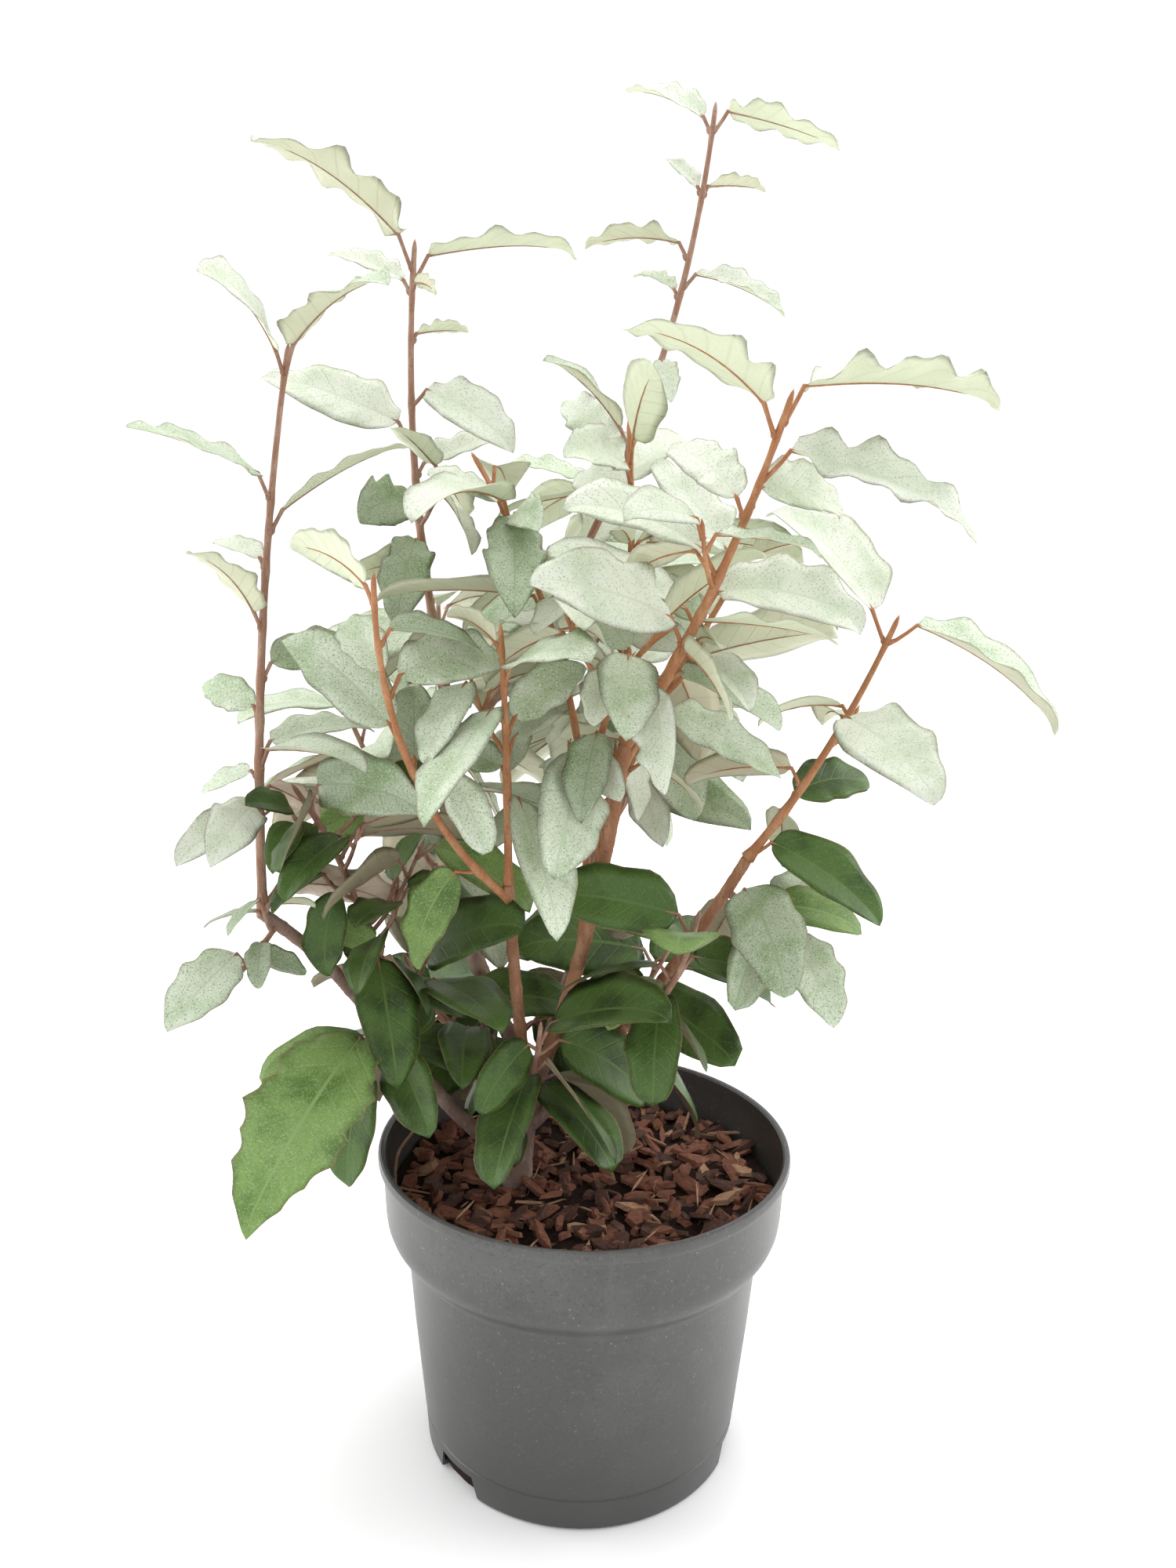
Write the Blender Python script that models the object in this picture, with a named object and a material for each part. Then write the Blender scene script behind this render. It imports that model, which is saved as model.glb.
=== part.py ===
"""Young elaeagnus shrub in its three-litre nursery pot.

Metres, +Z up. The origin is at the middle of the pot's flat underside, and -Y is the plant's
front. Bearings are degrees round from +X, and leans are degrees from upright.
"""

import math
import random
from collections import namedtuple

import bmesh
import bpy
from mathutils import Matrix, Vector
from mathutils.bvhtree import BVHTree

# Pot
POT_HEIGHT = 0.147
RIM_RADIUS = 0.095
COLLAR_RADIUS = 0.091
COLLAR_FOOT = 0.113
BODY_TOP_RADIUS = 0.082
BODY_TOP = 0.100
BASE_RADIUS = 0.073
LIP_HEIGHT = 0.005
POT_WALL = 0.0016
POT_FLOOR = 0.0026
POT_FACES = 40
NOTCH_BEARINGS = (-138.5, -17.0, 101.0)
NOTCH_WIDTH = 0.024
NOTCH_HEIGHT = 0.011
NOTCH_DEPTH = 0.008

# Soil
SOIL_LEVEL = 0.122
GAP = 0.0003

# Trunk
TRUNK_FOOT = (-0.034, 0.005)
TRUNK_BEARING = 25
TRUNK_LEAN = 12
TRUNK_TIP_LEAN = 6
TRUNK_LENGTH = 0.058
FLARE_RADIUS = 0.0115
TRUNK_RADIUS = 0.0072
TRUNK_TIP_RADIUS = 0.0060
FLARE_FADE = 0.007

# Limbs
LIMB_PATHS = {}
FINE_STEPS = 40
BOUGH_STEP = 0.020
STEM_STEP = 0.022
STEM_TIP_RADIUS = 0.0011
BOUGH_SIDES = 8
TRUNK_SIDES = 12
TRUNK_STEPS = 8

# Leaves
PETIOLE_SHARE = 0.20
PETIOLE_LEAN = 30
PETIOLE_RADIUS = 0.0007
LEAF_WIDTH = 0.46
OLD_LEAF_WIDTH = 0.52
LEAF_THICKNESS = 0.014
LEAF_STATIONS = ((0.28, 0.88), (0.70, 0.86))
SKYLINE_STATIONS = ((0.22, 0.76), (0.52, 1.0), (0.82, 0.62))
TURN = 144
LEAF_ROOM = 0.0005
LEAF_TRIES = 8
STALK_FACES = 4
BUD_LENGTH = 0.013
BUD_RADIUS = 0.0017

# Twigs
TWIG_RADIUS = 0.0011
TWIG_TIP_RADIUS = 0.0008
TWIG_LEAF_SHARE = 0.80
TWIG_LEAVES = 3
TWIG_LENGTHS = (0.030, 0.046)
TWIG_STEPS = 4
TWIG_TOP_SHARE = 0.8
TWIG_BUD = 0.008

Limb = namedtuple("Limb", "name on up bearing lean tip_lean length radius tip_radius")

BOUGHS = (
    Limb("left_bough", "trunk", 0.12, 199, 44, 33, 0.109, 0.0036, 0.0032),
    Limb("left_arm", "left_bough", 1.0, 206, 32, 51, 0.069, 0.0030, 0.0027),
    Limb("middle_bough", "trunk", 0.98, 158, 40, -16, 0.182, 0.0037, 0.0031),
    Limb("right_bough", "trunk", 0.60, 311, 28, 10, 0.196, 0.0033, 0.0028),
    Limb("low_right_bough", "trunk", 0.38, 346, 42, 28, 0.176, 0.0032, 0.0025),
    Limb("front_bough", "trunk", 0.78, 260, 26, 14, 0.119, 0.0030, 0.0025),
    Limb("back_bough", "trunk", 0.80, 54, 42, 10, 0.119, 0.0034, 0.0028),
    Limb("back_left_bough", "trunk", 0.85, 130, 46, 24, 0.100, 0.0030, 0.0025),
)

# Each shoot makes one mass of foliage. Its seeded leaves stand between low and high on the stem.
Shoot = namedtuple(
    "Shoot", "name on up bearing lean tip_lean length radius leaves size low high twigs age seed"
)

SHOOTS = (
    Shoot("left_outer", "left_arm", 0.97, 44, -1, 11, 0.231, 0.0021, 1, 0.052, 0.06, 0.36, 0, 0.2, 390),
    Shoot(
        "left_sprig", "left_arm", 0.86, 240, 130, 112, 0.038, 0.0013, 0,
        0.032, 0.40, 1.0, 0, 0.7, 12,
    ),
    Shoot(
        "left_inner", "left_bough", 0.90, 220, 2, 36, 0.125, 0.0018, 4,
        0.060, 0.15, 1.0, 1, 0.6, 230,
    ),
    Shoot("low_left", "left_bough", 0.78, 251, 82, 62, 0.034, 0.0017, 5, 0.060, 0.30, 1.0, 0, 1.0, 353),
    Shoot(
        "low_left_inner", "trunk", 0.92, 199, 65, 19, 0.090, 0.0020, 8,
        0.064, 0.35, 1.0, 0, 0.9, 320,
    ),
    Shoot(
        "tall_left", "middle_bough", 0.93, 172, 14, -5, 0.207, 0.0022, 3,
        0.058, 0.08, 0.34, 0, 0.1, 16,
    ),
    Shoot(
        "tall_middle", "middle_bough", 0.84, 10, 39, 5, 0.309, 0.0023, 4,
        0.060, 0.12, 0.55, 1, 0.1, 17,
    ),
    Shoot(
        "right_front", "right_bough", 1.0, 316, 38, 20, 0.152, 0.0026, 2,
        0.060, 0.10, 0.60, 0, 0.1, 382,
    ),
    Shoot(
        "right_back", "right_bough", 0.94, 27, 34, 33, 0.107, 0.0017, 3,
        0.062, 0.20, 1.0, 0, 0.2, 19,
    ),
    Shoot(
        "low_right", "low_right_bough", 1.0, 347, 36, 20, 0.120, 0.0021, 1,
        0.058, 0.05, 0.45, 0, 0.3, 20,
    ),
    Shoot(
        "low_right_skirt", "low_right_bough", 0.90, 346, 125, 150, 0.045, 0.0016, 4,
        0.054, 0.20, 1.0, 0, 1.0, 208,
    ),
    Shoot(
        "front_left", "front_bough", 0.94, 220, 51, -2, 0.156, 0.0020, 0,
        0.060, 0.22, 0.80, 0, 0.2, 188,
    ),
    Shoot(
        "front_middle", "front_bough", 1.0, 266, 2, 25, 0.115, 0.0019, 4,
        0.062, 0.20, 0.80, 1, 0.2, 49,
    ),
    Shoot(
        "centre_right", "right_bough", 0.72, 307, -24, 67, 0.122, 0.0018, 4,
        0.060, 0.35, 1.0, 1, 0.2, 24,
    ),
    Shoot("centre", "right_bough", 0.45, 156, -9, 36, 0.230, 0.0020, 7, 0.062, 0.30, 1.0, 1, 0.1, 40),
    Shoot(
        "centre_top", "back_bough", 0.85, 289, 32, -13, 0.223, 0.0021, 6,
        0.062, 0.30, 1.0, 1, 0.1, 146,
    ),
    Shoot(
        "back_middle", "back_bough", 0.84, 92, 40, -11, 0.211, 0.0021, 11,
        0.064, 0.15, 1.0, 2, 0.2, 27,
    ),
    Shoot(
        "back_right", "back_bough", 1.0, 33, 39, 19, 0.154, 0.0020, 10,
        0.064, 0.15, 1.0, 1, 0.3, 266,
    ),
    Shoot(
        "back_left", "back_left_bough", 1.0, 111, 26, 6, 0.144, 0.0020, 9,
        0.064, 0.10, 1.0, 1, 0.3, 181,
    ),
    Shoot(
        "back_left_side", "back_left_bough", 0.88, 170, 41, 21, 0.121, 0.0018, 8,
        0.062, 0.15, 1.0, 1, 0.4, 61,
    ),
    Shoot("front_low", "trunk", 0.50, 282, 48, 20, 0.085, 0.0020, 12, 0.060, 0.30, 1.0, 0, 1.0, 131),
    Shoot(
        "front_low_right", "low_right_bough", 0.45, 300, 60, 15, 0.090, 0.0017, 9,
        0.058, 0.30, 1.0, 0, 0.9, 97,
    ),
    Shoot("back_low_left", "trunk", 0.45, 105, 55, 30, 0.090, 0.0020, 8, 0.064, 0.35, 1.0, 0, 1.0, 305),
    Shoot("back_low_right", "trunk", 0.50, 20, 55, 30, 0.110, 0.0020, 8, 0.064, 0.35, 1.0, 0, 1.0, 286),
)

Leaf = namedtuple("Leaf", "up bearing rise size roll")

# The leaves that stand out against the sky, from each shoot's tip down.
SKYLINE = {
    "left_outer": (
        Leaf(0.944, 251, 24, 0.054, -56), Leaf(0.944, 317, 17, 0.064, 24),
        Leaf(0.733, 238, 13, 0.062, -24), Leaf(0.676, 22, 28, 0.058, -8),
        Leaf(0.511, 245, 35, 0.044, -4), Leaf(0.614, 145, 11, 0.030, -16),
        Leaf(0.421, 34, -1, 0.046, 48), Leaf(0.355, 147, 8, 0.032, -62),
        Leaf(0.357, 52, -9, 0.022, 60), Leaf(0.284, 23, 4, 0.045, 16),
        Leaf(0.249, 167, -25, 0.026, -36), Leaf(0.224, 34, -37, 0.027, -48),
        Leaf(0.178, 261, -19, 0.044, -32), Leaf(0.017, 23, -12, 0.058, -46),
    ),
    "left_sprig": (
        Leaf(0.574, 245, -23, 0.045, -34), Leaf(0.294, 279, -36, 0.023, 0),
        Leaf(0.523, 17, -29, 0.022, 44),
    ),
    "left_inner": (
        Leaf(0.896, 329, -3, 0.056, 64), Leaf(0.565, 231, -80, 0.038, -36),
        Leaf(0.803, 231, -35, 0.025, -22),
    ),
    "low_left": (
        Leaf(0.618, 251, -25, 0.099, -20), Leaf(0.525, 246, -72, 0.053, 4),
    ),
    "low_left_inner": (
        Leaf(0.641, 238, -26, 0.047, -38), Leaf(0.672, 169, 3, 0.036, -34),
    ),
    "tall_left": (
        Leaf(0.937, 230, 17, 0.076, -8), Leaf(0.915, 11, 4, 0.066, 2),
        Leaf(0.891, 171, 18, 0.036, -32), Leaf(0.9, 310, -20, 0.018, -64),
        Leaf(0.797, 35, 7, 0.026, -22), Leaf(0.673, 332, -30, 0.052, 46),
        Leaf(0.587, 175, 17, 0.064, -46), Leaf(0.527, 25, 19, 0.038, 28),
        Leaf(0.439, 248, -10, 0.046, -64), Leaf(0.385, 261, -50, 0.047, -16),
    ),
    "tall_middle": (
        Leaf(0.958, 149, 22, 0.042, -24), Leaf(0.958, 334, -21, 0.054, -14),
        Leaf(0.877, 144, 40, 0.022, -26), Leaf(0.874, 26, 3, 0.030, -10),
        Leaf(0.79, 163, 0, 0.044, 10), Leaf(0.75, 346, -24, 0.044, 24),
        Leaf(0.736, 137, 19, 0.026, -16), Leaf(0.64, 281, -44, 0.027, 16),
        Leaf(0.487, 132, 31, 0.045, -58),
    ),
    "right_front": (
        Leaf(0.883, 219, 16, 0.068, 0), Leaf(0.914, 17, -2, 0.080, -4),
        Leaf(0.781, 357, -23, 0.075, 28), Leaf(0.686, 128, 26, 0.044, -32),
        Leaf(0.711, 37, -13, 0.047, 64), Leaf(0.411, 5, -13, 0.061, 50),
        Leaf(0.333, 10, -6, 0.055, -10), Leaf(0.328, 216, 14, 0.066, -64),
        Leaf(0.139, 309, -26, 0.047, 50), Leaf(0.199, 359, -28, 0.047, 32),
    ),
    "right_back": (
        Leaf(0.879, 325, 15, 0.032, -20), Leaf(0.879, 145, 44, 0.053, -28),
        Leaf(0.184, 356, -28, 0.055, 30),
        Leaf(0.613, 125, 30, 0.031, -48),
    ),
    "low_right": (
        Leaf(0.892, 128, 33, 0.076, -8), Leaf(0.892, 352, -35, 0.073, 12),
        Leaf(0.532, 293, -20, 0.065, 26), Leaf(0.22, 30, 0, 0.044, 50),
        Leaf(0.01, 344, -33, 0.058, 38), Leaf(0.182, 76, -52, 0.041, 28),
    ),
    "low_right_skirt": (
        Leaf(0.115, 285, -32, 0.058, 22), Leaf(0.686, 293, -32, 0.049, 12),
    ),
    "front_left": (
        Leaf(0.917, 143, 18, 0.045, 64), Leaf(0.55, 161, 34, 0.057, -54),
        Leaf(0.689, 32, 2, 0.051, 54), Leaf(0.711, 129, 27, 0.039, -36), Leaf(0.475, 98, 46, 0.037, 0),
        Leaf(0.818, 33, -14, 0.042, 24), Leaf(0.14, 193, -69, 0.046, -56),
    ),
    "front_middle": (
        Leaf(0.565, 39, 28, 0.042, 58), Leaf(0.393, 131, 5, 0.032, -58),
        Leaf(0.36, 107, 27, 0.038, -12), Leaf(0.879, 157, 10, 0.026, 54),
    ),
    "centre": (
        Leaf(0.871, 214, 17, 0.034, -44), Leaf(0.787, 177, 17, 0.031, -20),
        Leaf(0.834, 274, -42, 0.054, 0), Leaf(0.841, 289, -9, 0.037, 46),
        Leaf(0.611, 147, 10, 0.042, -16), Leaf(0.62, 314, -6, 0.036, -48),
    ),
    "centre_right": (
        Leaf(0.678, 252, -29, 0.036, -20), Leaf(0.754, 109, 15, 0.034, -36),
    ),
    "centre_top": (
        Leaf(0.748, 256, 13, 0.026, 30), Leaf(0.746, 1, 12, 0.032, -28),
        Leaf(0.782, 119, 17, 0.052, -56), Leaf(0.876, 239, 2, 0.049, -58),
    ),
    "back_middle": (
        Leaf(0.938, 182, 12, 0.040, -26),
    ),
}

BARK = (0.20, 0.135, 0.09)
YOUNG_LEAF = (0.50, 0.56, 0.43)
OLD_LEAF = (0.07, 0.16, 0.05)
PLASTIC = (0.028, 0.029, 0.031)
CHIPS = (0.10, 0.035, 0.02)


def heading(bearing, lean):
    """Unit vector that points round to a bearing and leans from upright."""
    around = math.radians(bearing)
    over = math.radians(lean)
    flat = math.sin(over)
    return Vector((flat * math.cos(around), flat * math.sin(around), math.cos(over)))


def grow(foot, bearing, lean, tip_lean, length, steps):
    """Path of a limb whose lean changes evenly from its foot to its tip."""
    path = [Vector(foot)]
    for step in range(steps):
        share = (step + 0.5) / steps
        path.append(path[-1] + heading(bearing, lean + (tip_lean - lean) * share) * (length / steps))
    return path


def along(path, share):
    """Point at a share of the way up a path of even steps."""
    place = min(max(share, 0.0), 1.0) * (len(path) - 1)
    low = min(int(place), len(path) - 2)
    return path[low].lerp(path[low + 1], place - low)


def spaced(path, steps):
    """The same path with fewer, even steps."""
    return [along(path, step / steps) for step in range(steps + 1)]


def taper(foot_radius, tip_radius, steps):
    """Radius at each point of a path."""
    return [foot_radius + (tip_radius - foot_radius) * step / steps for step in range(steps + 1)]


def tube(path, radii, sides, level_foot=False):
    """Vertices and faces of a closed tapering tube; a radius of zero at the tip makes a point."""
    verts = []
    faces = []
    across = Vector((1, 0, 0))
    for at, centre in enumerate(path):
        before = path[max(at - 1, 0)]
        after = path[min(at + 1, len(path) - 1)]
        ahead = (after - before).normalized()
        if level_foot and at == 0:
            ahead = Vector((0, 0, 1))
        across = (across - ahead * across.dot(ahead)).normalized()
        up = ahead.cross(across)
        if radii[at] == 0:
            verts.append(centre.copy())
            continue
        for side in range(sides):
            turn = 2 * math.pi * side / sides
            verts.append(centre + (across * math.cos(turn) + up * math.sin(turn)) * radii[at])
    rings = sum(1 for radius in radii if radius > 0)
    for ring in range(rings - 1):
        for side in range(sides):
            after = (side + 1) % sides
            low = ring * sides
            faces.append((low + side, low + after, low + sides + after, low + sides + side))
    last = (rings - 1) * sides
    if radii[-1] == 0:
        faces += [(last + side, last + (side + 1) % sides, rings * sides) for side in range(sides)]
    else:
        faces.append(tuple(range(last, last + sides)))
    faces.append(tuple(reversed(range(sides))))
    return verts, faces


def leaf_solid(foot, leaf, look, width_share, stations, room=0.0):
    """A thin pointed blade on its stalk, folded along its midrib. Room makes it bigger all round."""
    fold, arch, wave = look
    droop = max(0, -leaf.rise - 10)
    neck = foot + heading(leaf.bearing, PETIOLE_LEAN + droop) * PETIOLE_SHARE * leaf.size
    level = heading(leaf.bearing + 90, 90)
    stalk_ahead = (neck - foot).normalized()
    stalk_up = stalk_ahead.cross(level)
    verts = []
    for centre, radius in ((foot - stalk_ahead * PETIOLE_RADIUS * 0.5, 0.9), (neck, 1.2)):
        reach = PETIOLE_RADIUS * radius + room
        verts += [centre + level * reach, centre + stalk_up * reach, centre - level * reach]
    faces = [(0, 1, 2), (0, 3, 4, 1), (1, 4, 5, 2), (2, 5, 3, 0)]
    centre = neck.copy()
    last = 0.0
    for number, (station, share) in enumerate(stations + ((1.0, 0.0),)):
        pitch = leaf.rise + arch * (0.5 - (station + last) / 2)
        ahead = heading(leaf.bearing, 90 - pitch)
        centre = centre + ahead * leaf.size * (station - last)
        last = station
        if share == 0:
            break
        side = Matrix.Rotation(math.radians(leaf.roll), 3, ahead) @ level
        up = ahead.cross(side)
        half = leaf.size * width_share * share / 2 + room
        thick = leaf.size * LEAF_THICKNESS / 2 + room
        lift = up * (half * math.sin(math.radians(fold)) + leaf.size * wave * (-1) ** number)
        spread = side * half * math.cos(math.radians(fold))
        low = len(verts)
        verts += [centre + spread + lift, centre + up * thick, centre - spread + lift, centre - up * thick]
        if number == 0:
            faces += [(3, low, low + 1, 4), (4, low + 1, low + 2, 5), (5, low + 2, low + 3, low, 3)]
            continue
        for side_number in range(4):
            after = (side_number + 1) % 4
            faces.append((low - 4 + side_number, low + side_number, low + after, low - 4 + after))
    tip = len(verts)
    verts.append(centre)
    faces += [(tip - 4 + side_number, tip, tip - 4 + (side_number + 1) % 4) for side_number in range(4)]
    return verts, faces


def mesh_object(name, verts, faces):
    """A closed mesh object of triangles that point outwards."""
    mesh = bpy.data.meshes.new(name)
    mesh.from_pydata([tuple(vert) for vert in verts], [], faces)
    work = bmesh.new()
    work.from_mesh(mesh)
    bmesh.ops.triangulate(work, faces=work.faces)
    if work.calc_volume(signed=True) < 0:
        bmesh.ops.reverse_faces(work, faces=work.faces)
    work.to_mesh(mesh)
    work.free()
    obj = bpy.data.objects.new(name, mesh)
    bpy.context.scene.collection.objects.link(obj)
    return obj


def turned(name, profile, segments):
    """A solid of revolution about Z from its half profile."""
    work = bmesh.new()
    verts = [work.verts.new((radius, 0, height)) for radius, height in profile]
    edges = [work.edges.new((low, high)) for low, high in zip(verts, verts[1:])]
    bmesh.ops.spin(
        work, geom=verts + edges, axis=(0, 0, 1), cent=(0, 0, 0),
        angle=2 * math.pi, steps=segments, use_merge=True,
    )
    bmesh.ops.remove_doubles(work, verts=work.verts, dist=0.00001)
    bmesh.ops.triangulate(work, faces=work.faces)
    bmesh.ops.recalc_face_normals(work, faces=work.faces)
    mesh = bpy.data.meshes.new(name)
    work.to_mesh(mesh)
    work.free()
    obj = bpy.data.objects.new(name, mesh)
    bpy.context.scene.collection.objects.link(obj)
    return obj


def finish(obj, colour, roughness):
    """Give an object its own material."""
    material = bpy.data.materials.new(obj.name)
    material.use_nodes = True
    shader = material.node_tree.nodes["Principled BSDF"]
    shader.inputs["Base Color"].default_value = (*colour, 1.0)
    shader.inputs["Roughness"].default_value = roughness
    shader.inputs["Metallic"].default_value = 0.0
    obj.data.materials.clear()
    obj.data.materials.append(material)


def remove(obj):
    """Delete an object that has done its work."""
    bpy.data.objects.remove(obj, do_unlink=True)


def apply_modifiers(obj):
    """Replace an object's mesh by the mesh that its modifiers make."""
    bpy.context.view_layer.update()
    evaluated = obj.evaluated_get(bpy.context.evaluated_depsgraph_get())
    mesh = bpy.data.meshes.new_from_object(evaluated)
    obj.modifiers.clear()
    obj.data = mesh


def cut(obj, cutter):
    """Take the cutter's shape out of an object, and remove the cutter."""
    boolean = obj.modifiers.new("cut", "BOOLEAN")
    boolean.operation = "DIFFERENCE"
    boolean.solver = "EXACT"
    boolean.object = cutter
    apply_modifiers(obj)
    remove(cutter)


def join_all(obj, others):
    """Join solids to an object by one union on a collection, and remove them."""
    group = bpy.data.collections.new(obj.name + "_parts")
    for other in others:
        group.objects.link(other)
    boolean = obj.modifiers.new("join", "BOOLEAN")
    boolean.operation = "UNION"
    boolean.solver = "MANIFOLD"
    boolean.operand_type = "COLLECTION"
    boolean.collection = group
    apply_modifiers(obj)
    for other in others:
        remove(other)
    bpy.data.collections.remove(group)


def clean(obj):
    """Drop the loose scraps that a Boolean leaves behind, and keep the largest piece."""
    work = bmesh.new()
    work.from_mesh(obj.data)
    left = set(work.faces)
    pieces = []
    while left:
        front = [left.pop()]
        piece = []
        while front:
            face = front.pop()
            piece.append(face)
            for other in (near for edge in face.edges for near in edge.link_faces):
                if other in left:
                    left.remove(other)
                    front.append(other)
        pieces.append(piece)
    pieces.sort(key=len)
    scraps = [face for piece in pieces[:-1] for face in piece]
    bmesh.ops.delete(work, geom=scraps, context="FACES")
    work.to_mesh(obj.data)
    work.free()


def pot_profile():
    """Half profile of the pot's wall and floor, from the underside's middle to the inside's."""
    lip = POT_HEIGHT - LIP_HEIGHT
    return (
        (0, 0), (BASE_RADIUS - 0.002, 0), (BASE_RADIUS, 0.001), (BASE_RADIUS + 0.0013, 0.0156),
        (BODY_TOP_RADIUS, BODY_TOP), (BODY_TOP_RADIUS + 0.003, BODY_TOP + 0.005),
        (COLLAR_RADIUS - 0.001, COLLAR_FOOT - 0.002), (COLLAR_RADIUS, COLLAR_FOOT + 0.001),
        (RIM_RADIUS - 0.0018, lip - 0.001), (RIM_RADIUS, lip), (RIM_RADIUS, POT_HEIGHT - 0.001),
        (RIM_RADIUS - 0.001, POT_HEIGHT), (RIM_RADIUS - 0.003, POT_HEIGHT),
        (COLLAR_RADIUS - POT_WALL, COLLAR_FOOT), (BODY_TOP_RADIUS - POT_WALL, BODY_TOP),
        (BASE_RADIUS - POT_WALL, POT_FLOOR), (0, POT_FLOOR),
    )


def make_pot():
    """Tapered pot with a wide collar, a rolled lip and three drain notches at its foot."""
    pot = turned("pot", pot_profile(), POT_FACES)
    for bearing in NOTCH_BEARINGS:
        outward = heading(bearing, 90)
        sideways = heading(bearing + 90, 90)
        middle = outward * BASE_RADIUS
        corners = []
        for depth in (-NOTCH_DEPTH, NOTCH_DEPTH):
            for width, height in ((-1.2, -0.002), (1.2, -0.002), (0.9, NOTCH_HEIGHT), (-0.9, NOTCH_HEIGHT)):
                corner = middle + outward * depth + sideways * width * NOTCH_WIDTH / 2
                corners.append(corner + Vector((0, 0, height)))
        faces = [(3, 2, 1, 0), (4, 5, 6, 7)]
        faces += [(side, (side + 1) % 4, 4 + (side + 1) % 4, 4 + side) for side in range(4)]
        cut(pot, mesh_object("notch", corners, faces))
    finish(pot, PLASTIC, 0.45)
    return pot


def make_soil():
    """The filling of the pot, level below the rim."""
    slope = (RIM_RADIUS - 0.003 - COLLAR_RADIUS + POT_WALL) / (POT_HEIGHT - COLLAR_FOOT)
    edge = COLLAR_RADIUS - POT_WALL + slope * (SOIL_LEVEL - COLLAR_FOOT)
    profile = (
        (0, POT_FLOOR + GAP), (BASE_RADIUS - POT_WALL - GAP * 2, POT_FLOOR + GAP),
        (BODY_TOP_RADIUS - POT_WALL - GAP * 2, BODY_TOP + GAP),
        (COLLAR_RADIUS - POT_WALL - GAP * 2, COLLAR_FOOT + GAP), (edge - GAP * 2, SOIL_LEVEL),
        (0, SOIL_LEVEL),
    )
    soil = turned("soil", profile, POT_FACES)
    finish(soil, CHIPS, 0.95)
    return soil


def trunk_shape(spare=0.0):
    """Path and radii of the trunk: it flares at the soil, where it is cut flat."""
    steps = TRUNK_STEPS
    foot = (TRUNK_FOOT[0], TRUNK_FOOT[1], SOIL_LEVEL + GAP)
    path = grow(foot, TRUNK_BEARING, TRUNK_LEAN, TRUNK_TIP_LEAN, TRUNK_LENGTH, steps)
    radii = []
    for step, radius in enumerate(taper(TRUNK_RADIUS, TRUNK_TIP_RADIUS, steps)):
        height = TRUNK_LENGTH * step / steps
        flare = (FLARE_RADIUS - TRUNK_RADIUS) * math.exp(-height / FLARE_FADE)
        radii.append(radius + flare + spare)
    return path, radii


def widened(path, radii, spare):
    """The same limb grown by a margin all round, for cutting what meets it."""
    foot = path[0] + (path[0] - path[1]).normalized() * spare
    tip = path[-1] + (path[-1] - path[-2]).normalized() * spare
    return [foot] + path[1:-1] + [tip], [radius + spare for radius in radii]


def stem_shape(shoot):
    """Path and radii of a shoot's stem, whose last stretch is a pointed bud."""
    whole = LIMB_PATHS[shoot.name]
    steps = max(5, round(shoot.length / STEM_STEP))
    bud_foot = 1 - BUD_LENGTH / shoot.length
    path = [along(whole, bud_foot * step / steps) for step in range(steps + 1)]
    radii = taper(shoot.radius, STEM_TIP_RADIUS, steps)
    bud = along(whole, 1 - 0.65 * BUD_LENGTH / shoot.length)
    return path + [bud, whole[-1].copy()], radii + [BUD_RADIUS, 0]


def leaf_foot(shoot, share):
    """Point on a shoot's stem, kept below its bud."""
    return along(LIMB_PATHS[shoot.name], min(share, 1 - BUD_LENGTH / shoot.length))


def lay_out_limbs():
    """Work out the centre line of each bough and shoot from what it grows on."""
    LIMB_PATHS["trunk"] = grow(
        (TRUNK_FOOT[0], TRUNK_FOOT[1], SOIL_LEVEL), TRUNK_BEARING, TRUNK_LEAN, TRUNK_TIP_LEAN,
        TRUNK_LENGTH, FINE_STEPS,
    )
    for limb in BOUGHS + SHOOTS:
        foot = along(LIMB_PATHS[limb.on], limb.up)
        LIMB_PATHS[limb.name] = grow(
            foot, limb.bearing, limb.lean, limb.tip_lean, limb.length, FINE_STEPS
        )


def twig_path(shoot, number, rng):
    """Path of a side twig on a shoot."""
    place = (number + rng.uniform(0.3, 0.7)) / shoot.twigs
    share = shoot.low + (shoot.high - shoot.low) * place
    foot = along(LIMB_PATHS[shoot.name], share * TWIG_TOP_SHARE)
    bearing = rng.uniform(0, 360)
    length = rng.uniform(*TWIG_LENGTHS)
    return grow(foot, bearing, rng.uniform(42, 60), rng.uniform(10, 25), length, TWIG_STEPS)


def tree_of(verts, faces):
    """Collision tree of a solid."""
    return BVHTree.FromPolygons([tuple(vert) for vert in verts], faces)


class Crown:
    """What has been placed so far, so that each new leaf can keep clear of it."""

    def __init__(self):
        self.solids = []

    def add(self, owner, verts, faces):
        middle = sum(verts, Vector()) / len(verts)
        reach = max((vert - middle).length for vert in verts)
        self.solids.append((owner, middle, reach, tree_of(verts, faces)))

    def touches(self, verts, faces, skip=()):
        middle = sum(verts, Vector()) / len(verts)
        reach = max((vert - middle).length for vert in verts)
        tree = tree_of(verts, faces)
        for owner, centre, extent, other in self.solids:
            if owner in skip or (centre - middle).length > reach + extent:
                continue
            if tree.overlap(other):
                return True
        return False


def leaf_look(rng):
    """Fold, arch and wave of one leaf."""
    return rng.uniform(6, 22), rng.uniform(8, 38), rng.uniform(0.0, 0.02)


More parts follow.
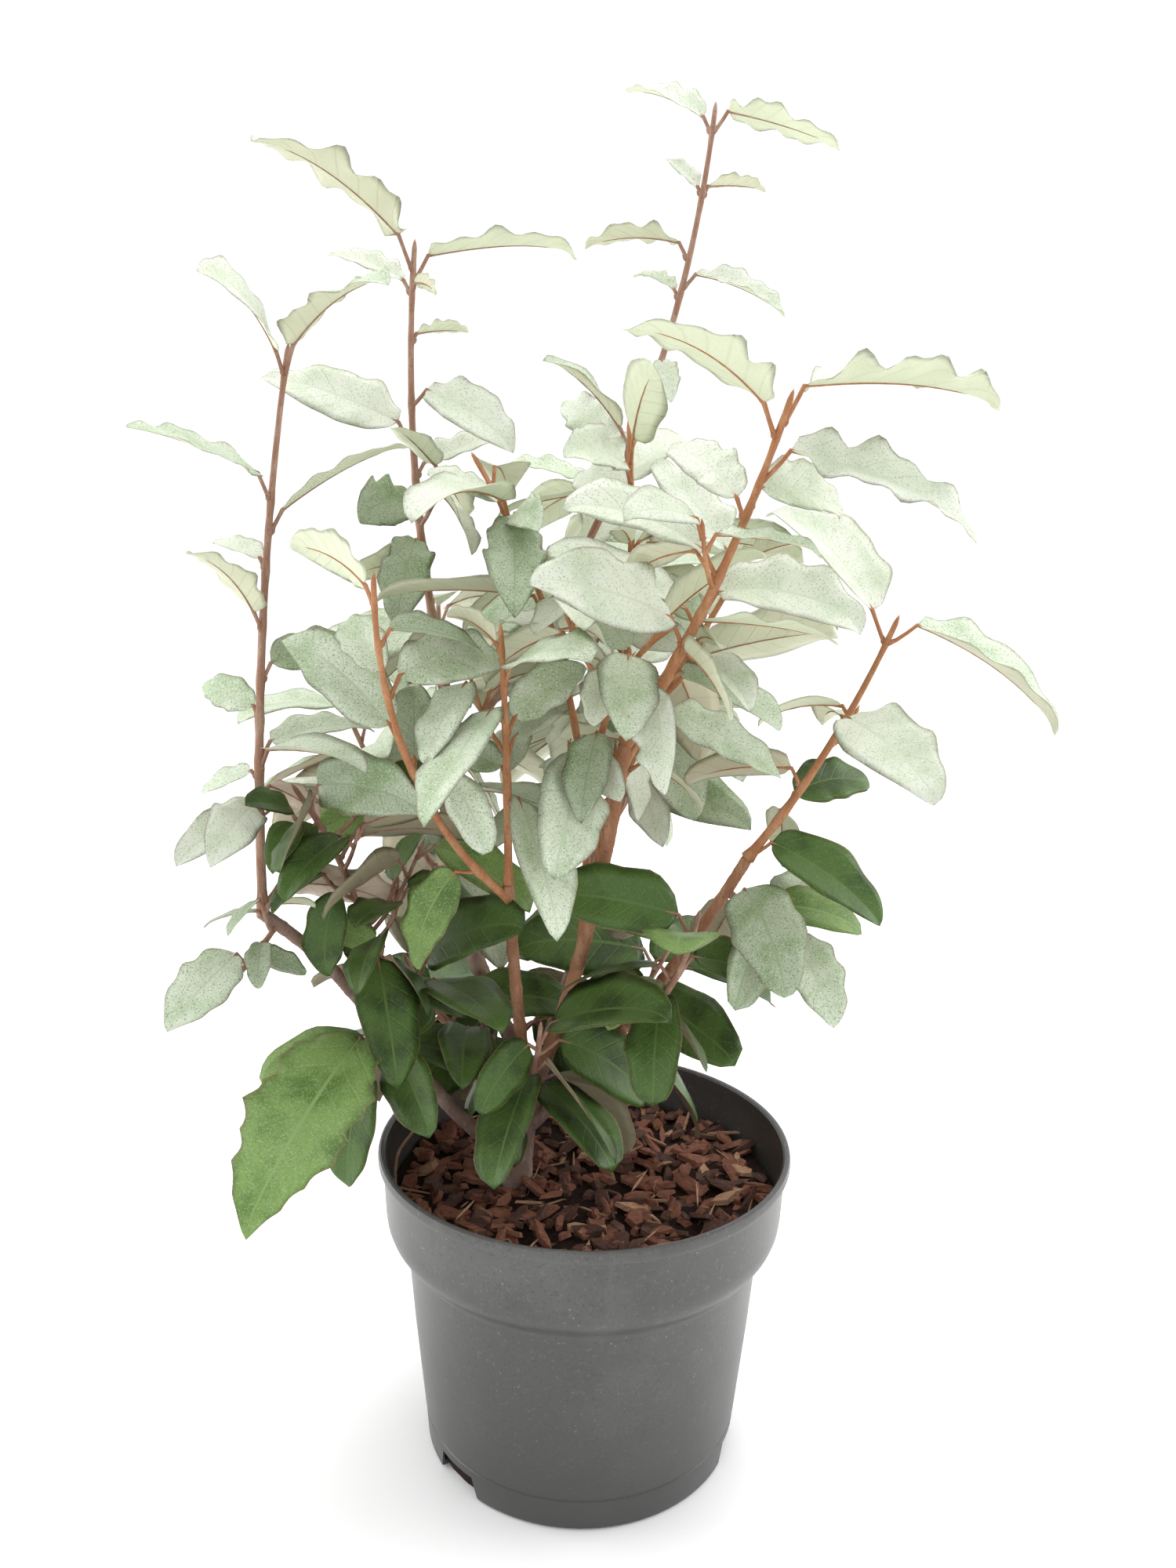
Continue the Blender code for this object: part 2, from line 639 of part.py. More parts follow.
def try_leaf(crown, stem_name, foot, leaf, look, width_share, stations):
    """Place a leaf if it keeps clear of everything but its own stem at its root."""
    verts, faces = leaf_solid(foot, leaf, look, width_share, stations, LEAF_ROOM)
    stalks = stem_name + "_stalks"
    if crown.touches(verts, faces[STALK_FACES:]):
        return None
    if crown.touches(verts, faces[:STALK_FACES], (stem_name, stalks)):
        return None
    verts, faces = leaf_solid(foot, leaf, look, width_share, stations)
    crown.add(stalks, verts, faces[:STALK_FACES])
    crown.add(stem_name + "_leaves", verts, faces[STALK_FACES:])
    return verts, faces


def seeded_leaves(path, stem_name, count, size, low, high, age, rng, crown):
    """Leaves that turn round a stem by a fixed angle, with seeded differences."""
    placed = []
    first = rng.uniform(0, 360)
    turn = rng.choice((-TURN, TURN))
    for number in range(count):
        down = number / max(1, count - 1)
        share = high - (high - low) * ((number + 0.35) / count) ** 1.1
        for attempt in range(LEAF_TRIES):
            spread = 20 + 8 * attempt
            leaf = Leaf(
                share, first + turn * number + rng.uniform(-spread, spread),
                8 - 26 * down - 14 * age + rng.uniform(-34, 34),
                size * rng.uniform(0.80, 1.12) * (1 - 0.03 * attempt), rng.uniform(-58, 58),
            )
            look = leaf_look(rng)
            width = LEAF_WIDTH + (OLD_LEAF_WIDTH - LEAF_WIDTH) * age
            solid = try_leaf(crown, stem_name, along(path, share), leaf, look, width, LEAF_STATIONS)
            if solid:
                placed.append(solid)
                break
    return placed


def make_trunk():
    """The short stem between the soil and the fork."""
    path, radii = trunk_shape()
    trunk = mesh_object("trunk", *tube(path, radii, TRUNK_SIDES, level_foot=True))
    finish(trunk, BARK, 0.9)


def limb_cutter(name):
    """The widened copy of a limb that trims what grows on it."""
    if name == "trunk":
        path, radii = trunk_shape(GAP)
        tip = path[-1] + (path[-1] - path[-2]).normalized() * GAP
        return mesh_object("cutter", *tube(path[:-1] + [tip], radii, TRUNK_SIDES, level_foot=True))
    bough = next(limb for limb in BOUGHS if limb.name == name)
    return mesh_object("cutter", *tube(*widened(*bough_shape(bough), GAP), BOUGH_SIDES))


def bough_shape(bough):
    """Path and radii of a bough."""
    steps = max(4, round(bough.length / BOUGH_STEP))
    path = spaced(LIMB_PATHS[bough.name], steps)
    return path, taper(bough.radius, bough.tip_radius, steps)


def make_boughs():
    """The bare limbs, each trimmed clear of the one that carries it."""
    for bough in BOUGHS:
        path, radii = bough_shape(bough)
        obj = mesh_object(bough.name, *tube(path, radii, BOUGH_SIDES))
        cut(obj, limb_cutter(bough.on))
        clean(obj)
        finish(obj, BARK, 0.9)


def place_foliage():
    """The stem of each shoot, and the side twigs and leaves that find room on it."""
    crown = Crown()
    crown.add("pot", *solid_data(bpy.data.objects["pot"]))
    crown.add("soil", *solid_data(bpy.data.objects["soil"]))
    crown.add("trunk", *solid_data(bpy.data.objects["trunk"]))
    for bough in BOUGHS:
        crown.add(bough.name, *solid_data(bpy.data.objects[bough.name]))
    stems = {}
    for shoot in SHOOTS:
        path, radii = stem_shape(shoot)
        stems[shoot.name] = tube(path, radii, 5)
        crown.add(shoot.name, *stems[shoot.name])
    parts = {shoot.name: [] for shoot in SHOOTS}
    for shoot in SHOOTS:
        rng = random.Random(shoot.seed)
        width = LEAF_WIDTH + (OLD_LEAF_WIDTH - LEAF_WIDTH) * shoot.age
        for leaf in SKYLINE.get(shoot.name, ()):
            foot = leaf_foot(shoot, leaf.up)
            for attempt in range(LEAF_TRIES):
                nudged = leaf._replace(
                    bearing=leaf.bearing + rng.uniform(-5, 5) * attempt,
                    rise=leaf.rise + rng.uniform(-3, 3) * attempt,
                )
                solid = try_leaf(
                    crown, shoot.name, foot, nudged, leaf_look(rng), width, SKYLINE_STATIONS
                )
                if solid:
                    parts[shoot.name].append(solid)
                    break
    for shoot in SHOOTS:
        rng = random.Random(shoot.seed + 100)
        for number in range(shoot.twigs):
            for attempt in range(LEAF_TRIES):
                path = twig_path(shoot, number, rng)
                radii = taper(TWIG_RADIUS, TWIG_TIP_RADIUS, TWIG_STEPS)
                ahead = (path[-1] - path[-2]).normalized()
                twig = tube(path + [path[-1] + ahead * TWIG_BUD], radii + [0], 3)
                beyond = path[-1] + ahead * (TWIG_BUD + LEAF_ROOM)
                roomy = tube(path + [beyond], [radius + LEAF_ROOM for radius in radii] + [0], 3)
                if crown.touches(*roomy, (shoot.name,)):
                    continue
                name = f"{shoot.name}_twig_{number}"
                crown.add(name, *twig)
                parts[shoot.name].append(twig)
                parts[shoot.name] += seeded_leaves(
                    path, name, TWIG_LEAVES, shoot.size * TWIG_LEAF_SHARE, 0.35, 1.0, shoot.age,
                    rng, crown,
                )
                break
        highest = min(shoot.high, 1 - BUD_LENGTH / shoot.length)
        parts[shoot.name] += seeded_leaves(
            LIMB_PATHS[shoot.name], shoot.name, shoot.leaves, shoot.size, shoot.low, highest,
            shoot.age, rng, crown,
        )
    return stems, parts


def make_masses():
    """One mass of foliage for each shoot: stem, side twigs and leaves, joined."""
    stems, parts = place_foliage()
    for shoot in SHOOTS:
        stem = mesh_object(shoot.name + "_foliage", *stems[shoot.name])
        others = [mesh_object("part", *solid) for solid in parts[shoot.name]]
        join_all(stem, others)
        cut(stem, limb_cutter(shoot.on))
        clean(stem)
        mix = [young + (old - young) * shoot.age for young, old in zip(YOUNG_LEAF, OLD_LEAF)]
        finish(stem, mix, 0.6)


def solid_data(obj):
    """Vertices and faces of an object."""
    verts = [vert.co.copy() for vert in obj.data.vertices]
    faces = [tuple(face.vertices) for face in obj.data.polygons]
    return verts, faces


def main():
    for obj in list(bpy.data.objects):
        bpy.data.objects.remove(obj, do_unlink=True)
    lay_out_limbs()
    make_pot()
    make_soil()
    make_trunk()
    make_boughs()
    make_masses()


main()
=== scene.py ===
# Young elaeagnus shrub in its three-litre nursery pot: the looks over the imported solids.
# Metres, +Z up. -Y is the plant's front. Bearings are degrees round from +X, leans from upright.

import math
import random
from collections import namedtuple

import bmesh
import bpy
from mathutils import Matrix, Vector, noise
from mathutils.bvhtree import BVHTree
from mathutils.kdtree import KDTree


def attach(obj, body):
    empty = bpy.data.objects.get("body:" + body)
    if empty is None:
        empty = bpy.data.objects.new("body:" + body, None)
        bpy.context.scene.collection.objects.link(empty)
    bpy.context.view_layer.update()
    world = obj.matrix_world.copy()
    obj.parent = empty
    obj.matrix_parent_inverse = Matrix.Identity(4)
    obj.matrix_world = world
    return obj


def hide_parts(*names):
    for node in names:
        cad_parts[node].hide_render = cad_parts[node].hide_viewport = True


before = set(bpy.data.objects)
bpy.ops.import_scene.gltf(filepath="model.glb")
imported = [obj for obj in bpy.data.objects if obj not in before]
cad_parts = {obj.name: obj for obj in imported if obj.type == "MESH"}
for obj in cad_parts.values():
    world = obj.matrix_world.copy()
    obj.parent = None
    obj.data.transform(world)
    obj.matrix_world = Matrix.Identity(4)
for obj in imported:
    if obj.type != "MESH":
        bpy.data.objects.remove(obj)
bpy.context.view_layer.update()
limbNodes = [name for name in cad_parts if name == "trunk" or name.endswith(("_bough", "_arm"))]
print("frame loaded:", len(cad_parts), "nodes")

# Materials


class Finish:
    # A Principled material on Object coordinates, built up by a few short calls.
    def __init__(self, name, colour, roughness, specular=0.3):
        self.material = bpy.data.materials.new(name)
        self.material.use_nodes = True
        self.tree = self.material.node_tree
        self.shader = self.tree.nodes["Principled BSDF"]
        self.coords = self.tree.nodes.new("ShaderNodeTexCoord").outputs
        self.colour = (*colour, 1)
        self.feed(self.shader, {
            "Base Color": self.colour, "Roughness": roughness, "Specular IOR Level": specular,
        })

    def feed(self, node, inputs):
        # An input takes a value, or a link where it is given another node's output.
        for key, value in inputs.items():
            if isinstance(value, bpy.types.NodeSocket):
                self.tree.links.new(value, node.inputs[key])
            else:
                node.inputs[key].default_value = value

    def add(self, kind, inputs, output=0, **settings):
        node = self.tree.nodes.new("ShaderNode" + kind)
        for key, value in settings.items():
            setattr(node, key, value)
        self.feed(node, inputs)
        return node.outputs[output]

    def place(self, stretch=(1, 1, 1)):
        return self.add("Mapping", {"Vector": self.coords["Object"], "Scale": stretch})

    def noise(self, scale, detail=2.0, rough=0.5, stretch=(1, 1, 1)):
        inputs = {"Vector": self.place(stretch), "Scale": scale, "Detail": detail, "Roughness": rough}
        return self.add("TexNoise", inputs, "Fac")

    def spots(self, scale):
        return self.add("TexVoronoi", {"Vector": self.place(), "Scale": scale}, "Distance")

    def height(self, low, high, flip=False):
        height = self.add("SeparateXYZ", {"Vector": self.coords["Object"]}, "Z")
        return self.step(height, low, high, flip)

    def step(self, value, low, high, flip=False):
        first, last = (1.0, 0.0) if flip else (0.0, 1.0)
        inputs = {"Value": value, "From Min": low, "From Max": high, "To Min": first, "To Max": last}
        return self.add("MapRange", inputs, "Result", interpolation_type="SMOOTHSTEP")

    def maths(self, operation, *values):
        return self.add("Math", dict(enumerate(values)), operation=operation)

    def tint(self, pattern, share, colour):
        # Lay a colour over what is there, by a share of the pattern.
        factor = self.maths("MULTIPLY", pattern, share)
        self.colour = self.add("Mix", {0: factor, 6: self.colour, 7: (*colour, 1)}, 2, data_type="RGBA")
        self.feed(self.shader, {"Base Color": self.colour})

    def patch(self, pattern, low, high, share, colour, flip=False):
        self.tint(self.step(pattern, low, high, flip), share, colour)

    def gloss(self, value, low, high):
        rough = self.add("MapRange", {"Value": value, "To Min": low, "To Max": high}, "Result")
        self.feed(self.shader, {"Roughness": rough})

    def relief(self, value, strength, depth):
        inputs = {"Strength": strength, "Distance": depth, "Height": value}
        self.feed(self.shader, {"Normal": self.add("Bump", inputs, "Normal")})


def layered(name, start, layers, relief):
    # Colour and roughness, then noise layers from low to high; the last noise gives the relief.
    finish = Finish(name, *start)
    for grain, low, high, share, colour in layers:
        pattern = finish.noise(*grain)
        finish.patch(pattern, low, high, share, colour)
    finish.relief(pattern, *relief)
    return finish.material


def barkSkin(name, colour, scurf, dark, scale, roughness):
    return layered(name, (colour, roughness), (
        ((scale, 3, 0.6, (1, 1, 0.35)), 0.42, 0.66, 0.7, scurf),
        ((scale * 9, 3, 0.6, (1, 1, 0.5)), 0.55, 0.68, 0.6, dark),
    ), (0.4, 0.0004))


def woodChip(name, colour, pale, dark):
    return layered(name, (colour, 0.8), (
        ((160, 3, 0.6, (1, 1, 3)), 0.5, 0.75, 0.6, pale),
        ((700, 3, 0.6, (0.4, 1, 1.6)), 0.5, 0.7, 0.65, dark),
    ), (0.5, 0.0006))


def compost():
    crumbs = ((420, 4, 0.7), 0.5, 0.7, 0.7, (0.055, 0.028, 0.018))
    return layered("compost", ((0.020, 0.011, 0.008), 0.95, 0.15), (crumbs,), (0.8, 0.002))


leafSkin = {  # ends are where a layer starts and is full
    "veinLag": -0.22, "veinBeat": 44.0, "veinEnds": (0.86, 1.0), "patches": (60, 3),
    "patchEnds": (0.42, 0.70), "grains": 1300, "grainEnds": (0.52, 0.66), "specks": 920,
    "speckEnds": (0.20, 0.30), "relief": (0.35, 0.0004),
    "margin": (0.93, 0.99, 0.55, (0.33, 0.24, 0.11)),  # ends, share and colour
    "underRoughness": 0.62, "underPatches": 45, "underEnds": (0.4, 0.7, 0.30), "underShade": 0.84,
    "underVeins": 0.25, "veinShade": 0.8, "underSpecks": 860,
    "underDots": (0.18, 0.27, 0.14, (0.22, 0.13, 0.06)), "underRelief": (0.4, 0.0004), "ribRoughness": 0.5,
}


def sideVeins(finish):
    # On a leaf's own map, raised where a vein runs from the midrib out towards the tip.
    across = finish.add("SeparateXYZ", {0: finish.coords["UV"]}, 0)
    length = finish.add("SeparateXYZ", {0: finish.coords["UV"]}, 1)
    out = finish.maths("ABSOLUTE", finish.maths("MULTIPLY_ADD", across, 2.0, -1.0))
    lag = finish.maths("MULTIPLY_ADD", out, leafSkin["veinLag"], length)
    wave = finish.maths("SINE", finish.maths("MULTIPLY", lag, leafSkin["veinBeat"]))
    return out, finish.step(wave, *leafSkin["veinEnds"])


def leafTop(name, look):
    # Silver scales over green: rubbed patches, pale scales, dark specks, a thin brown margin.
    finish = Finish(name, look["colour"], look["roughness"], look["specular"])
    finish.patch(finish.noise(*leafSkin["patches"]), *leafSkin["patchEnds"], *look["rubbed"])
    out, veins = sideVeins(finish)
    finish.tint(veins, *look["veins"])
    finish.patch(finish.noise(leafSkin["grains"]), *leafSkin["grainEnds"], *look["scales"])
    finish.patch(finish.spots(leafSkin["specks"]), *leafSkin["speckEnds"], *look["specks"], True)
    finish.patch(out, *leafSkin["margin"])
    finish.relief(finish.maths("MULTIPLY", veins, -1.0), *leafSkin["relief"])
    return finish.material


def leafUnder(name, colour):
    finish = Finish(name, colour, leafSkin["underRoughness"])
    shade = [leafSkin["underShade"] * part for part in colour]
    finish.patch(finish.noise(leafSkin["underPatches"]), *leafSkin["underEnds"], shade)
    veins = sideVeins(finish)[1]
    finish.tint(veins, leafSkin["underVeins"], [leafSkin["veinShade"] * part for part in colour])
    finish.patch(finish.spots(leafSkin["underSpecks"]), *leafSkin["underDots"], True)
    finish.relief(veins, *leafSkin["underRelief"])
    return finish.material


potSkin = {  # noises: scale, detail, roughness; layers: where they start and are full, share and colour
    "colour": (0.042, 0.0415, 0.0405), "roughness": 0.40, "specular": 0.68, "gloss": (0.28, 0.46),
    "cloudNoise": (14, 4, 0.6), "cloud": (0.45, 0.75, 0.5, (0.105, 0.105, 0.101)),
    "streakNoise": (60, 3, 0.6, (1, 1, 0.12)), "streak": (0.58, 0.78, 0.35, (0.12, 0.117, 0.11)),
    "gritSpots": (240, 0.06, 0.13), "gritPlaces": (70, 0.48, 0.56), "grit": (0.6, (0.30, 0.26, 0.21)),
    "dustNoise": (520, 3, 0.7), "dust": (0.55, 0.72, 0.40, (0.165, 0.15, 0.135)),
    "grainNoise": (640, 3, 0.7), "grain": (0.54, 0.68, 0.55, (0.020, 0.017, 0.015)),
    # Painted shade follows: the pot's colour is darker towards its foot and fades out at the given height.
    "shadeHeight": 0.10, "paintedShade": (0.8, (0.026, 0.0255, 0.0245)), "relief": (900, 0.12, 0.0002),
}


def potPlastic():
    finish = Finish("potPlastic", potSkin["colour"], potSkin["roughness"], potSkin["specular"])
    cloud = finish.noise(*potSkin["cloudNoise"])
    finish.patch(cloud, *potSkin["cloud"])
    finish.patch(finish.noise(*potSkin["streakNoise"]), *potSkin["streak"])
    scale, *ends = potSkin["gritSpots"]
    grit = finish.step(finish.spots(scale), *ends, True)
    scale, *ends = potSkin["gritPlaces"]
    grit = finish.maths("MULTIPLY", grit, finish.step(finish.noise(scale), *ends))
    finish.tint(grit, *potSkin["grit"])
    finish.patch(finish.noise(*potSkin["dustNoise"]), *potSkin["dust"])
    finish.patch(finish.noise(*potSkin["grainNoise"]), *potSkin["grain"])
    # Painted shade: darker towards the pot's foot, where less light falls.
    finish.tint(finish.height(0.0, potSkin["shadeHeight"], True), *potSkin["paintedShade"])
    finish.gloss(cloud, *potSkin["gloss"])
    scale, *depth = potSkin["relief"]
    finish.relief(finish.noise(scale), *depth)
    return finish.material


# View and light

view = {
    "place": (-0.0015, -0.537, 0.429), "pitch": 12.0, "roll": 1.08, "lens": 28.8, "longSide": 36.0,
    "nearest": 0.01, "farthest": 60,
}


def linked(name, data):
    obj = bpy.data.objects.new(name, data)
    bpy.context.scene.collection.objects.link(obj)
    return obj


def setCamera():
    data = bpy.data.cameras.new("camera")
    data.lens = view["lens"]
    data.sensor_fit = "AUTO"
    data.sensor_width = view["longSide"]
    data.clip_start = view["nearest"]
    data.clip_end = view["farthest"]
    camera = linked("camera", data)
    tilt = Matrix.Rotation(math.radians(90 - view["pitch"]), 4, "X")
    roll = Matrix.Rotation(math.radians(view["roll"]), 4, "Z")
    camera.matrix_world = Matrix.Translation(view["place"]) @ tilt @ roll
    bpy.context.scene.camera = camera


studio = {
    "floorSize": 40.0, "floorHeight": -0.0004, "floorColour": (0.96, 0.96, 0.96), "floorRoughness": 0.6,
    "floorSpecular": 0.2, "air": (1.0, 1.0, 1.0, 1), "airStrength": 1.08, "aim": (0.0, 0.0, 0.32),
    "lamps": (  # name, place, size and power
        ("topLamp", (0.20, 0.42, 2.20), 1.6, 26.0),
        ("leftLamp", (-1.35, 0.10, 0.70), 1.0, 9.0),
        ("rightLamp", (1.35, 0.15, 0.75), 1.0, 9.0),
    ),
}


def setStudio():
    bpy.ops.mesh.primitive_plane_add(size=studio["floorSize"], location=(0, 0, studio["floorHeight"]))
    floor = bpy.context.active_object
    floor.name = "floor"
    paint = Finish("floorPaint", studio["floorColour"], studio["floorRoughness"], studio["floorSpecular"])
    floor.data.materials.append(paint.material)
    for name, place, size, power in studio["lamps"]:
        data = bpy.data.lights.new(name, "AREA")
        data.shape = "DISK"
        data.size = size
        data.energy = power
        lamp = linked(name, data)
        lamp.location = place
        aim = Vector(studio["aim"]) - Vector(place)
        lamp.rotation_euler = aim.to_track_quat("-Z", "Y").to_euler()
    world = bpy.data.worlds.new("paleStudio")
    world.use_nodes = True
    air = world.node_tree.nodes["Background"]
    air.inputs["Color"].default_value = studio["air"]
    air.inputs["Strength"].default_value = studio["airStrength"]
    bpy.context.scene.world = world
    bpy.context.scene.view_settings.view_transform = "Standard"


setCamera()
setStudio()
print("camera, floor and lamps set")

# Joined meshes from arrays


def meshObject(name, verts, faces):
    mesh = bpy.data.meshes.new(name)
    mesh.from_pydata([tuple(vert) for vert in verts], [], faces)
    return linked(name, mesh)


def modify(obj, kind, **settings):
    bpy.context.view_layer.objects.active = obj
    modifier = obj.modifiers.new(kind, kind)
    for key, value in settings.items():
        setattr(modifier, key, value)
    bpy.ops.object.modifier_apply(modifier=kind)


def smoothAll(mesh):
    mesh.polygons.foreach_set("use_smooth", [True] * len(mesh.polygons))


class Bag:
    # Faces of one kind, gathered into one piece.
    def __init__(self):
        self.verts = []
        self.faces = []
        self.looks = []
        self.maps = []
        self.nodes = set()

    def add(self, verts, faces, looks=None, node=None, places=()):
        base = len(self.verts)
        self.verts += verts
        self.faces += [tuple(base + corner for corner in face) for face in faces]
        self.looks += looks or [0] * len(faces)
        self.maps += places
        if node:
            self.nodes.add(node)

    def piece(self, name, materials, slot, smooth=True):
        obj = meshObject(name, self.verts, self.faces)
        mesh = obj.data
        mesh.polygons.foreach_set("use_smooth", [smooth] * len(self.faces))
        mesh.polygons.foreach_set("material_index", self.looks)
        if self.maps:
            # The places go in one pair for each corner, in the order of the faces.
            places = mesh.uv_layers.new(name="blade")
            flat = [part for face in self.faces for corner in face for part in self.maps[corner]]
            places.data.foreach_set("uv", flat)
        for material in materials:
            mesh.materials.append(material)
        mesh.validate()
        mesh.update()
        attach(obj, "root")
        if self.nodes:
            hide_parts(*sorted(self.nodes))
        return obj


# The growth rule of the solids, written again

trunk = {
    "level": 0.122, "gap": 0.0003, "foot": (-0.034, 0.005), "bearing": 25, "lean": 12, "tipLean": 6,
    "length": 0.058, "flare": 0.0115, "radius": 0.0072, "tipRadius": 0.0060, "flareFade": 0.007,
}
growth = {
    "fineSteps": 40, "stemSides": 5, "stemStep": 0.022, "fewestSteps": 5, "stemTip": 0.0011,
    "budLength": 0.013, "budRadius": 0.0017, "budWidest": 0.65,
}
twigs = {
    "sides": 3, "steps": 4, "radius": 0.0011, "tip": 0.0008, "bud": 0.008, "lengths": (0.030, 0.046),
    "leans": (42, 60), "tipLeans": (10, 25), "places": (0.3, 0.7), "topShare": 0.8, "leaves": 3,
    "leafShare": 0.80, "leavesFrom": 0.35, "tries": 8,
}
leafShape = {
    "stalkShare": 0.20, "stalkLean": 30, "droopBelow": 10, "stalkRadius": 0.0007, "stalkTaper": (0.9, 1.2),
    "stalkFaces": 4, "width": 0.46, "oldWidth": 0.52, "thickness": 0.014, "room": 0.0005, "tries": 8,
    "stations": ((0.28, 0.88), (0.70, 0.86)), "skyStations": ((0.22, 0.76), (0.52, 1.0), (0.82, 0.62)),
    "folds": (6, 22), "arches": (8, 38), "waves": (0.0, 0.02),
}
seeded = {
    "turn": 144, "spread": 20, "moreSpread": 8, "rise": 8, "lowRise": 26, "oldRise": 14, "riseSpread": 34,
    "roll": 58, "sizes": (0.80, 1.12), "shrink": 0.03, "crowding": 1.1, "start": 0.35,
    "nudgeBearing": 5, "nudgeRise": 3,
}

Limb = namedtuple("Limb", "name on up bearing lean tipLean length radius tipRadius")
boughs = tuple(Limb(*row) for row in (
    ("left_bough", "trunk", 0.12, 199, 44, 33, 0.109, 0.0036, 0.0032),
    ("left_arm", "left_bough", 1.0, 206, 32, 51, 0.069, 0.0030, 0.0027),
    ("middle_bough", "trunk", 0.98, 158, 40, -16, 0.182, 0.0037, 0.0031),
    ("right_bough", "trunk", 0.60, 311, 28, 10, 0.196, 0.0033, 0.0028),
    ("low_right_bough", "trunk", 0.38, 346, 42, 28, 0.176, 0.0032, 0.0025),
    ("front_bough", "trunk", 0.78, 260, 26, 14, 0.119, 0.0030, 0.0025),
    ("back_bough", "trunk", 0.80, 54, 42, 10, 0.119, 0.0034, 0.0028),
    ("back_left_bough", "trunk", 0.85, 130, 46, 24, 0.100, 0.0030, 0.0025),
))

shootFields = "name on up bearing lean tipLean length radius leaves size low high twigs age seed"
Shoot = namedtuple("Shoot", shootFields)
shoots = tuple(Shoot(*row) for row in (
    ("left_outer", "left_arm", 0.97, 44, -1, 11, 0.231, 0.0021, 1, 0.052, 0.06, 0.36, 0, 0.2, 390),
    ("left_sprig", "left_arm", 0.86, 240, 130, 112, 0.038, 0.0013, 0, 0.032, 0.40, 1.0, 0, 0.7, 12),
    ("left_inner", "left_bough", 0.90, 220, 2, 36, 0.125, 0.0018, 4, 0.060, 0.15, 1.0, 1, 0.6, 230),
    ("low_left", "left_bough", 0.78, 251, 82, 62, 0.034, 0.0017, 5, 0.060, 0.30, 1.0, 0, 1.0, 353),
    ("low_left_inner", "trunk", 0.92, 199, 65, 19, 0.090, 0.0020, 8, 0.064, 0.35, 1.0, 0, 0.9, 320),
    ("tall_left", "middle_bough", 0.93, 172, 14, -5, 0.207, 0.0022, 3, 0.058, 0.08, 0.34, 0, 0.1, 16),
    ("tall_middle", "middle_bough", 0.84, 10, 39, 5, 0.309, 0.0023, 4, 0.060, 0.12, 0.55, 1, 0.1, 17),
    ("right_front", "right_bough", 1.0, 316, 38, 20, 0.152, 0.0026, 2, 0.060, 0.10, 0.60, 0, 0.1, 382),
    ("right_back", "right_bough", 0.94, 27, 34, 33, 0.107, 0.0017, 3, 0.062, 0.20, 1.0, 0, 0.2, 19),
    ("low_right", "low_right_bough", 1.0, 347, 36, 20, 0.120, 0.0021, 1, 0.058, 0.05, 0.45, 0, 0.3, 20),
    (
        "low_right_skirt", "low_right_bough", 0.90, 346, 125, 150, 0.045, 0.0016, 4, 0.054, 0.20, 1.0, 0,
        1.0, 208,
    ),
    ("front_left", "front_bough", 0.94, 220, 51, -2, 0.156, 0.0020, 0, 0.060, 0.22, 0.80, 0, 0.2, 188),
    ("front_middle", "front_bough", 1.0, 266, 2, 25, 0.115, 0.0019, 4, 0.062, 0.20, 0.80, 1, 0.2, 49),
    ("centre_right", "right_bough", 0.72, 307, -24, 67, 0.122, 0.0018, 4, 0.060, 0.35, 1.0, 1, 0.2, 24),
    ("centre", "right_bough", 0.45, 156, -9, 36, 0.230, 0.0020, 7, 0.062, 0.30, 1.0, 1, 0.1, 40),
    ("centre_top", "back_bough", 0.85, 289, 32, -13, 0.223, 0.0021, 6, 0.062, 0.30, 1.0, 1, 0.1, 146),
    ("back_middle", "back_bough", 0.84, 92, 40, -11, 0.211, 0.0021, 11, 0.064, 0.15, 1.0, 2, 0.2, 27),
    ("back_right", "back_bough", 1.0, 33, 39, 19, 0.154, 0.0020, 10, 0.064, 0.15, 1.0, 1, 0.3, 266),
    ("back_left", "back_left_bough", 1.0, 111, 26, 6, 0.144, 0.0020, 9, 0.064, 0.10, 1.0, 1, 0.3, 181),
    ("back_left_side", "back_left_bough", 0.88, 170, 41, 21, 0.121, 0.0018, 8, 0.062, 0.15, 1.0, 1, 0.4, 61),
    ("front_low", "trunk", 0.50, 282, 48, 20, 0.085, 0.0020, 12, 0.060, 0.30, 1.0, 0, 1.0, 131),
    ("front_low_right", "low_right_bough", 0.45, 300, 60, 15, 0.090, 0.0017, 9, 0.058, 0.30, 1.0, 0, 0.9, 97),
    ("back_low_left", "trunk", 0.45, 105, 55, 30, 0.090, 0.0020, 8, 0.064, 0.35, 1.0, 0, 1.0, 305),
    ("back_low_right", "trunk", 0.50, 20, 55, 30, 0.110, 0.0020, 8, 0.064, 0.35, 1.0, 0, 1.0, 286),
))

